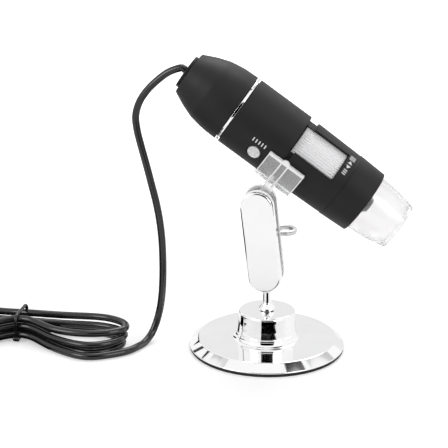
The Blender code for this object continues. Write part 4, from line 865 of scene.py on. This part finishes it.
def make_marks():
    """Two arrows that point apart, a grey patch and short ticks."""
    place = (shell_radius(MARK_STATION), MARK_STATION, WINDOW_ANGLE)
    wrapped([(0.1, 0), (1.7, -1.2), (1.7, 1.2)], *place, "print_white", "arrow_one")
    wrapped([(4.3, 0), (2.7, 1.2), (2.7, -1.2)], *place, "print_white", "arrow_two")
    for index in range(5):
        patch = strip(4.8 + 0.6 * index, 0.54, -1.5, 1.4)
        wrapped(patch, *place, "print_grey", f"patch_grey_{index + 1}")
    for index in range(3):
        tick = strip(-3.0 + 0.95 * index, 0.45, -0.9, 0.9)
        wrapped(tick, *place, "print_white", f"tick_front_{index + 1}")
    angle = BUTTON_ANGLE + 5.6 / SLEEVE_RADIUS
    for index in range(5):
        place = (SLEEVE_RADIUS, BUTTON_STATION - 3.4 + 1.5 * index, angle)
        tick = strip(-0.9, 1.8, -0.25, 0.25)
        wrapped(tick, *place, "print_white", f"tick_button_{index + 1}")


make_marks()


# Cord, on the line that the model's source gives it; in millimetres

CORD_THICKNESS = 3.2
CORD_DIAMETER = CORD_THICKNESS * MM
JACKET_RADIUS = 1.66 * MM  # drawn a little thicker than the solid, as the photo shows it
FLOOR_GAP = 0.05
FLOOR_HEIGHT = CORD_THICKNESS / 2 + FLOOR_GAP
GROMMET_END = -27.8
GAP = 0.3  # between neighbours, and from the grommet to the solid's end
CORD_CHAIN = ("clip", "clip_ball", "arm", "lower_ball", "stand")
CORD_CUTS = (0, 0.28, 0.54, 0.81, 1)  # where the free run is parted, a joint in each part
CORD_ROUTE = [
    (-40.9, 0, 126.9), (-44.6, 0, 124.4), (-49.0, 0, 121.1), (-53.0, 0, 117.2),
    (-56.5, 0, 112.6), (-58.7, 0, 106.8), (-59.0, 0, 102.3), (-58.1, 0, 96.5),
    (-56.1, 0, 88.5), (-54.0, 0, 80.4), (-51.9, 0, 71.7), (-50.1, 0, 64.0),
    (-48.7, 0, 55.0), (-48.0, 0, 47.0), (-47.8, 0, 38.5), (-47.9, 0, 30.0),
    (-48.5, 0, 21.2), (-49.9, -0.4, 12.6), (-52.0, -2.6, 5.6), (-54.2, -7.2, FLOOR_HEIGHT),
    (-56.9, -15.2, FLOOR_HEIGHT),
]
HANK_CENTRE = Vector((-111.9, -11.5, 0)) * MM
END_RADIUS = 18.9
HALF_LENGTH = 33.0
PITCH = 3.95
WAIST_HALF_WIDTH = 5.6
WAIST_SHIFT = 4.0
LAYER = 3.7
LAYER_TURNS = 1.3
CLIMB_TURNS = 0.5
FAN_START = 8.0  # the layers fan out from here on, towards the stand
FAN_REACH = 26.0
SECOND_FAN = 2.0
THIRD_FAN = 5.0
FRONT_START = 2.0
REAR_REACH = 16.0
REAR_DRAW = 6.0
TIE_THICKNESS = 0.9
TIE_WIRE = 0.75
TIE_REACH = 20.0  # the turns rise over the tie from this far off
TIE_CORNER = 2.6
TIE_CORNER_STEPS = 8
TWIST_LENGTH = 3.0
TWIST_RADIUS = 0.5
TWIST_WIRE = 0.7
TWIST_TURNS = 2.5
TWIST_STEPS = 39
TAIL_LENGTH = 28.0
PLUG_AXIS = 3.8
ARC_POINTS = 8
RUN_POINTS = 4
LOOP_POINTS = 2 * (ARC_POINTS + RUN_POINTS)
RUN_SPACING = 1.0
HANK_SPACING = 1.2
HANK_PASSES = 26
EASED_STEPS = 16
START_STEPS = 6
LAST_STEPS = 16
TAIL_DROPS = ((0.2, 0.0), (0.4, 0.12), (0.6, 0.5), (0.8, 0.88), (0.9, 1.0), (1.0, 1.0))


def smooth_route(places, spacing, samples=24):
    """Evenly spaced points on a smooth curve through all but the end places, which aim it."""
    knots = [Vector(place) for place in places]
    fine = []
    for a, b, c, d in zip(knots, knots[1:], knots[2:], knots[3:]):
        for step in range(samples):
            t = step / samples
            square = 2 * a - 5 * b + 4 * c - d
            cube = 3 * b - a - 3 * c + d
            fine.append((2 * b + (c - a) * t + square * t**2 + cube * t**3) / 2)
    fine.append(knots[-2])
    lengths = [0.0]
    for a, b in zip(fine, fine[1:]):
        lengths.append(lengths[-1] + (b - a).length)
    count = max(2, round(lengths[-1] / spacing))
    points = []
    index = 0
    for step in range(count + 1):
        target = lengths[-1] * step / count
        while index < len(fine) - 2 and lengths[index + 1] < target:
            index += 1
        share = (target - lengths[index]) / (lengths[index + 1] - lengths[index])
        points.append(fine[index].lerp(fine[index + 1], min(share, 1.0)))
    return points


def hank_side(along):
    """Half width of the hank's side at a place along it, and its slope there."""
    phase = math.pi * along / HALF_LENGTH
    spread = (END_RADIUS - WAIST_HALF_WIDTH) / 2
    slope = spread * math.pi / HALF_LENGTH * math.sin(phase)
    return WAIST_HALF_WIDTH + spread * (1 - math.cos(phase)), slope


def hank_place(index, inset):
    step = index % LOOP_POINTS
    side = 1 if step < LOOP_POINTS // 2 else -1
    step %= LOOP_POINTS // 2
    if step < ARC_POINTS:
        angle = math.pi / 2 - math.pi * step / ARC_POINTS
        radius = END_RADIUS - inset
        return side * Vector((HALF_LENGTH + radius * math.cos(angle), radius * math.sin(angle), 0))
    along = HALF_LENGTH * (1 - 2 * (step - ARC_POINTS) / RUN_POINTS)
    half_width, slope = hank_side(along)
    normal = Vector((slope, 1, 0)).normalized()
    return side * (Vector((along, -half_width, 0)) + normal * inset)


def eased_step(share):
    share = min(max(share, 0.0), 1.0)
    return share * share * (3 - 2 * share)


def hank_inset(turn, turns):
    if turn < LAYER_TURNS:
        return PITCH * turn
    top = turn - 2 * LAYER_TURNS
    if top < 0:
        return -PITCH * top
    return PITCH * 0.5 * math.sin(math.pi * top / (turns - 2 * LAYER_TURNS))


def hank_shift(x, y, layer):
    """How far to the rear a place lies: the layers fan out at the end near the stand."""
    away = eased_step((x - FAN_START) / FAN_REACH)
    front = eased_step((FRONT_START - y) / END_RADIUS)
    rear = eased_step(y / REAR_REACH)
    fan = SECOND_FAN * min(layer, 1) + THIRD_FAN * max(layer - 1, 0)
    waist = WAIST_SHIFT * (1 - eased_step(abs(x) / FAN_REACH))
    return (fan * front - REAR_DRAW * rear) * away + waist


def hank_points():
    """Line of the hank and its tail, with its start and the direction it comes in from."""
    count = 3 * LOOP_POINTS + LAST_STEPS - START_STEPS
    turns = count / LOOP_POINTS
    points = []
    for step in range(count + 1):
        turn = step / LOOP_POINTS
        layer = 0
        for climb in (LAYER_TURNS, 2 * LAYER_TURNS):
            layer += eased_step((turn - climb) / CLIMB_TURNS + 0.5)
        place = hank_place(START_STEPS + step, hank_inset(turn, turns))
        rise = (TIE_THICKNESS + 2 * GAP) * (1 - eased_step(abs(place.x) / TIE_REACH))
        place.z = FLOOR_HEIGHT + layer * LAYER + rise
        place.y += hank_shift(place.x, place.y, layer)
        points.append(HANK_CENTRE + place * MM)
    lead_in = (points[0] - points[1]).normalized()
    points.insert(0, points[0] + lead_in * CORD_DIAMETER)
    start = points[0].copy()
    tail = points[-1].copy()
    drop = tail.z - PLUG_AXIS * MM
    for along, down in TAIL_DROPS:
        points.append(tail + Vector((0, TAIL_LENGTH * along * MM, -drop * down)))
    return points, start, lead_in


def tube_mesh(name, points, radius, facets, body=None):
    """Round tube along the points, its rings carried along without twist."""
    rings = []
    across = None
    for index, point in enumerate(points):
        before = points[max(index - 1, 0)]
        after = points[min(index + 1, len(points) - 1)]
        tangent = (after - before).normalized()
        if across is None:
            across = tangent.orthogonal().normalized()
        across = (across - tangent * across.dot(tangent)).normalized()
        other = tangent.cross(across)
        ring = []
        for step in range(facets):
            angle = FULL_TURN * step / facets
            ring.append(point + (across * math.cos(angle) + other * math.sin(angle)) * radius)
        rings.append(ring)
    return finished(name, lofted(rings), "cord_jacket", body, sharp=60)


def fine_path(points, spacing):
    """Smooth close path through all the points."""
    first = points[0] * 2 - points[1]
    last = points[-1] * 2 - points[-2]
    return smooth_route([first, *points, last], spacing, 12)


def relaxed(points, passes):
    """Corners eased: each inner point is drawn towards the middle of its neighbours."""
    for _ in range(passes):
        inner = [b / 2 + (a + c) / 4 for a, b, c in zip(points, points[1:], points[2:])]
        points = [points[0], *inner, points[-1]]
    return points


def make_cord():
    """Free run, in a part for each joint that it crosses; gives back the hank's eased line."""
    hank, hank_start, lead_in = hank_points()
    face = SCOPE @ Vector((0, 0, (GROMMET_END - GAP) * MM))
    leaving = face - AXIS * 2 * MM
    end = hank_start + lead_in * (GAP * MM)
    arriving = end + lead_in * CORD_DIAMETER
    places = [Vector(place) * MM for place in CORD_ROUTE]
    route = smooth_route([face, leaving, *places, arriving, end], 2 * CORD_DIAMETER)
    run = fine_path([face + AXIS * 0.25 * MM, *route, hank_start], RUN_SPACING * MM)
    coil = fine_path(hank, HANK_SPACING * MM)
    line = relaxed([*run[-EASED_STEPS:], *coil[1:]], HANK_PASSES)
    run[-EASED_STEPS:] = line[:EASED_STEPS]
    for index, (before, after) in enumerate(zip(CORD_CHAIN, CORD_CHAIN[1:])):
        first, last = (round(share * (len(run) - 1)) for share in CORD_CUTS[index : index + 2])
        part = run[first : last + 1]
        piece = tube_mesh(f"cord_drop_{index + 1}", part, JACKET_RADIUS, 24)
        if index == 0:
            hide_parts("cord_run")
        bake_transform(piece)
    return line[EASED_STEPS - 1 :]


def make_hank(line):
    data = bpy.data.curves.new("cord_hank_wound", "CURVE")
    data.dimensions = "3D"
    data.bevel_depth = JACKET_RADIUS
    data.bevel_resolution = 6
    data.use_fill_caps = True
    spline = data.splines.new("POLY")
    spline.points.add(len(line) - 1)
    for target, point in zip(spline.points, line):
        target.co = (*point, 1.0)
    data.materials.append(LOOKS["cord_jacket"])
    made = placed("cord_hank_wound", data)
    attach(made, "stand")
    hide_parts("cord_hank")
    return made


def make_tie():
    """Wire tie round the hank's waist, its ends twisted together at the front foot."""
    low = FLOOR_GAP + TIE_WIRE
    high = FLOOR_GAP + TIE_THICKNESS + CORD_THICKNESS + 2 * LAYER + GAP + TIE_WIRE
    across = WAIST_HALF_WIDTH + CORD_THICKNESS / 2 + 2 * GAP + TIE_THICKNESS / 2
    points = []
    for turn, (side, end) in enumerate(((1, 1), (-1, 1), (-1, -1), (1, -1))):
        for step in range(TIE_CORNER_STEPS + 1):
            angle = (turn + step / TIE_CORNER_STEPS) * math.pi / 2
            y = side * (across - TIE_CORNER) + TIE_CORNER * math.cos(angle)
            middle = (low + high) / 2 + end * ((high - low) / 2 - TIE_CORNER)
            z = middle + TIE_CORNER * math.sin(angle)
            place = Vector((-TWIST_LENGTH / 2 * MM, (WAIST_SHIFT + y) * MM, z * MM))
            points.append(HANK_CENTRE + place)
    points.append(points[0])
    made = tube_mesh("cord_tie_wire", points, TIE_WIRE * MM, 14, "stand")
    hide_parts("cord_tie")
    knot = []
    foot = HANK_CENTRE + Vector((-TWIST_LENGTH, WAIST_SHIFT - across, CORD_THICKNESS / 2)) * MM
    for step in range(TWIST_STEPS + 1):
        angle = FULL_TURN * TWIST_TURNS * step / TWIST_STEPS
        x = TWIST_LENGTH * step / TWIST_STEPS
        y, z = TWIST_RADIUS * math.cos(angle), TWIST_RADIUS * math.sin(angle)
        knot.append(foot + Vector((x * MM, y * MM, z * MM)))
    tube_mesh("cord_tie_twist", knot, TWIST_WIRE * MM, 12, "stand")
    return made


CONTACT_COUNT = 4
CONTACT_PITCH = 2.2
CONTACT_SIZE = Vector((1.1, 7.6, 0.16)) * MM
CONTACT_BACK = 4.8 * MM  # middle of a contact, from the tongue's tip
CONTACT_LIFT = 0.06 * MM


def make_contacts():
    low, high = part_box("usb_tongue")
    middle = (low.x + high.x) / 2
    for index in range(CONTACT_COUNT):
        x = middle + (index - (CONTACT_COUNT - 1) / 2) * CONTACT_PITCH * MM
        shape = bmesh.new()
        bmesh.ops.create_cube(shape, size=1.0)
        place = Matrix.Translation((x, high.y - CONTACT_BACK, high.z + CONTACT_LIFT))
        place = place @ Matrix.Diagonal((*CONTACT_SIZE, 1))
        finished(f"usb_contact_{index + 1}", shape, "gold", "stand", place)


hank_line = make_cord()
hank = make_hank(hank_line)
tie = make_tie()
make_contacts()


# Finishes of the CAD nodes that stay

KEPT = {
    "foot_rubber": ("base_pad",),
    "steel": (
        "stud_washer", "stud_nut", "clamp_nut", "board_screw_1", "board_screw_2", "usb_shell",
    ),
    "chip_black": ("snap_switch", "image_sensor"),
    "board": ("button_board", "main_board"),
    "board_white": ("led_board",),
    "inner_plastic": ("focus_tube", "lens_carrier"),
    "connector_plastic": ("cable_header",),
    "cord_jacket": ("inner_lead", "usb_overmould"),
    "print_white": ("usb_tongue",),
}
for look, nodes in KEPT.items():
    for node in nodes:
        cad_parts[node].data.materials[0] = LOOKS[look]


# Studio

FLOOR_LIFT = 0.42
MIRROR_LIFT = 0.24
FLOOR_NEAR = 0.12  # in metres from the stand: between these the floor turns plain white
FLOOR_FAR = 0.5
FLOOR_HALF = 2.0
WORLD_LIGHT = 0.38
LAMP_AIM = Vector((-0.03, 0, 0.05))
CARD_CENTRE = Vector((0, 0, 10)) * MM


def stage_sheet(name, corners, material):
    """Flat studio piece with four corners."""
    mesh = bpy.data.meshes.new(name)
    mesh.from_pydata(corners, [], [(0, 1, 2, 3)])
    mesh.materials.append(material)
    made = placed(name, mesh)
    return made


def combined(tree, operation, first, second):
    step = tree.nodes.new("ShaderNodeMath")
    step.operation = operation
    tree.links.new(first, step.inputs[0])
    tree.links.new(second, step.inputs[1])
    return step.outputs["Value"]


def any_ray(tree, first, *others):
    """Largest of several kinds of Light Path ray."""
    rays = tree.nodes.new("ShaderNodeLightPath")
    result = rays.outputs[first]
    for other in others:
        result = combined(tree, "MAXIMUM", result, rays.outputs[other])
    return result


def make_floor():
    """White floor, with shadows near the object and plain white farther out."""
    made, tree, shader = new_material("floor", (0.8, 0.8, 0.8), 0.9, Specular_IOR_Level=0.0)
    place = tree.nodes.new("ShaderNodeTexCoord")
    reach = tree.nodes.new("ShaderNodeVectorMath")
    reach.operation = "LENGTH"
    tree.links.new(place.outputs["Object"], reach.inputs[0])
    lift = tree.nodes.new("ShaderNodeMapRange")
    set_inputs(lift, From_Min=FLOOR_NEAR, From_Max=FLOOR_FAR, To_Min=FLOOR_LIFT, To_Max=1.0)
    tree.links.new(reach.outputs["Value"], lift.inputs["Value"])
    seen = combined(tree, "MULTIPLY", any_ray(tree, "Is Camera Ray"), lift.outputs["Result"])
    mirrored = any_ray(tree, "Is Glossy Ray", "Is Transmission Ray")
    result = shader.outputs["BSDF"]
    for shade, strength in ((1.0, seen), (MIRROR_LIFT, mirrored)):
        glow = set_inputs(tree.nodes.new("ShaderNodeEmission"), Color=(shade, shade, shade, 1))
        tree.links.new(strength, glow.inputs["Strength"])
        total = tree.nodes.new("ShaderNodeAddShader")
        tree.links.new(result, total.inputs[0])
        tree.links.new(glow.outputs["Emission"], total.inputs[1])
        result = total.outputs["Shader"]
    tree.links.new(result, tree.nodes["Material Output"].inputs["Surface"])
    corners = [(-1, -1, 0), (1, -1, 0), (1, 1, 0), (-1, 1, 0)]
    stage_sheet("floor", [Vector(corner) * FLOOR_HALF for corner in corners], made)


def make_world():
    """Soft light all round; the camera, mirrors and clear pieces show plain white instead."""
    world = bpy.data.worlds.new("studio")
    scene.world = world
    world.use_nodes = True
    tree = world.node_tree
    plain = set_inputs(tree.nodes["Background"], Color=WHITE, Strength=WORLD_LIGHT)
    white = set_inputs(tree.nodes.new("ShaderNodeBackground"), Color=WHITE, Strength=1.0)
    seen = any_ray(tree, "Is Camera Ray", "Is Glossy Ray", "Is Transmission Ray")
    mix = tree.nodes.new("ShaderNodeMixShader")
    tree.links.new(seen, mix.inputs["Fac"])
    tree.links.new(plain.outputs["Background"], mix.inputs[1])
    tree.links.new(white.outputs["Background"], mix.inputs[2])
    tree.links.new(mix.outputs["Shader"], tree.nodes["World Output"].inputs["Surface"])


def make_lamp(name, place, size, power):
    """Square lamp, its place and size in metres."""
    data = bpy.data.lights.new(name, "AREA")
    data.shape = "RECTANGLE"
    data.size = size
    data.size_y = size
    data.energy = power
    made = placed(name, data)
    made.location = place
    made.rotation_mode = "QUATERNION"
    made.rotation_quaternion = (LAMP_AIM - Vector(place)).to_track_quat("-Z", "Y")


def make_card(name, shade, corners):
    """Dark or grey card that only reflections see, as a studio flag; corners in metres."""
    look = {"Specular_IOR_Level": 0.0, "Emission_Color": WHITE, "Emission_Strength": shade}
    card = stage_sheet(name, corners, new_material(name, (0, 0, 0), 1.0, **look)[0])
    card.visible_camera = False
    card.visible_diffuse = False
    card.visible_shadow = False
    card.visible_transmission = False


def sky_card(name, shade, distance, *ways):
    """Card with its corners in four directions from the stand."""
    make_card(name, shade, [CARD_CENTRE + direction(*way) * distance for way in ways])


def black_card(name, *corners):
    """Black card with its corners in millimetres."""
    make_card(name, 0.0, [Vector(corner) * MM for corner in corners])


make_floor()
make_world()
make_lamp("lamp_top_back", (0.1, 0.5, 0.9), 0.7, 5.0)
make_lamp("lamp_front_left", (-0.7, -0.7, 0.6), 0.5, 3.4)
make_lamp("lamp_front_right", (0.8, -0.6, 0.5), 0.5, 2.4)
sky_card("card_camera", 0.0, 0.55, (-14, -4), (34, -4), (34, 40), (-14, 40))
sky_card("card_wall", 0.86, 1.4, (150, -8), (210, -8), (210, 34), (150, 34))
sky_card("card_edge", 0.02, 0.7, (-117, 33), (-114, 33), (-111.5, 43), (-114.5, 43))
sky_card("card_left_one", 0.5, 0.9, (-108, 41), (-97, 50), (-100, 57), (-109, 49))
sky_card("card_left_two", 0.72, 0.9, (-97, 50), (-88, 55), (-92, 62), (-100, 57))
sky_card("card_high_one", 0.0, 0.8, (70, 70), (86, 65), (92, 72), (78, 79))
sky_card("card_high_two", 0.06, 0.8, (86, 65), (99, 57), (105, 65), (92, 72))
sky_card("card_right", 0.58, 0.9, (107, 54), (134, 29), (140, 38), (114, 63))
black_card("card_front", (-9, -42, 0.5), (38, -42, 0.5), (50, -82, 0.5), (-16, -82, 0.5))
black_card("card_side", (-41, -2, 0.5), (-41, 14, 0.5), (-66, 20, 0.5), (-66, -2, 0.5))
black_card("card_left", (-96, -90, 0.5), (-96, 60, 0.5), (-196, 60, 0.5), (-196, -90, 0.5))
black_card("card_post", (-55, 60, 20), (-77, 39, 20), (-77, 39, 36), (-55, 60, 36))

scene.view_settings.view_transform = "Standard"
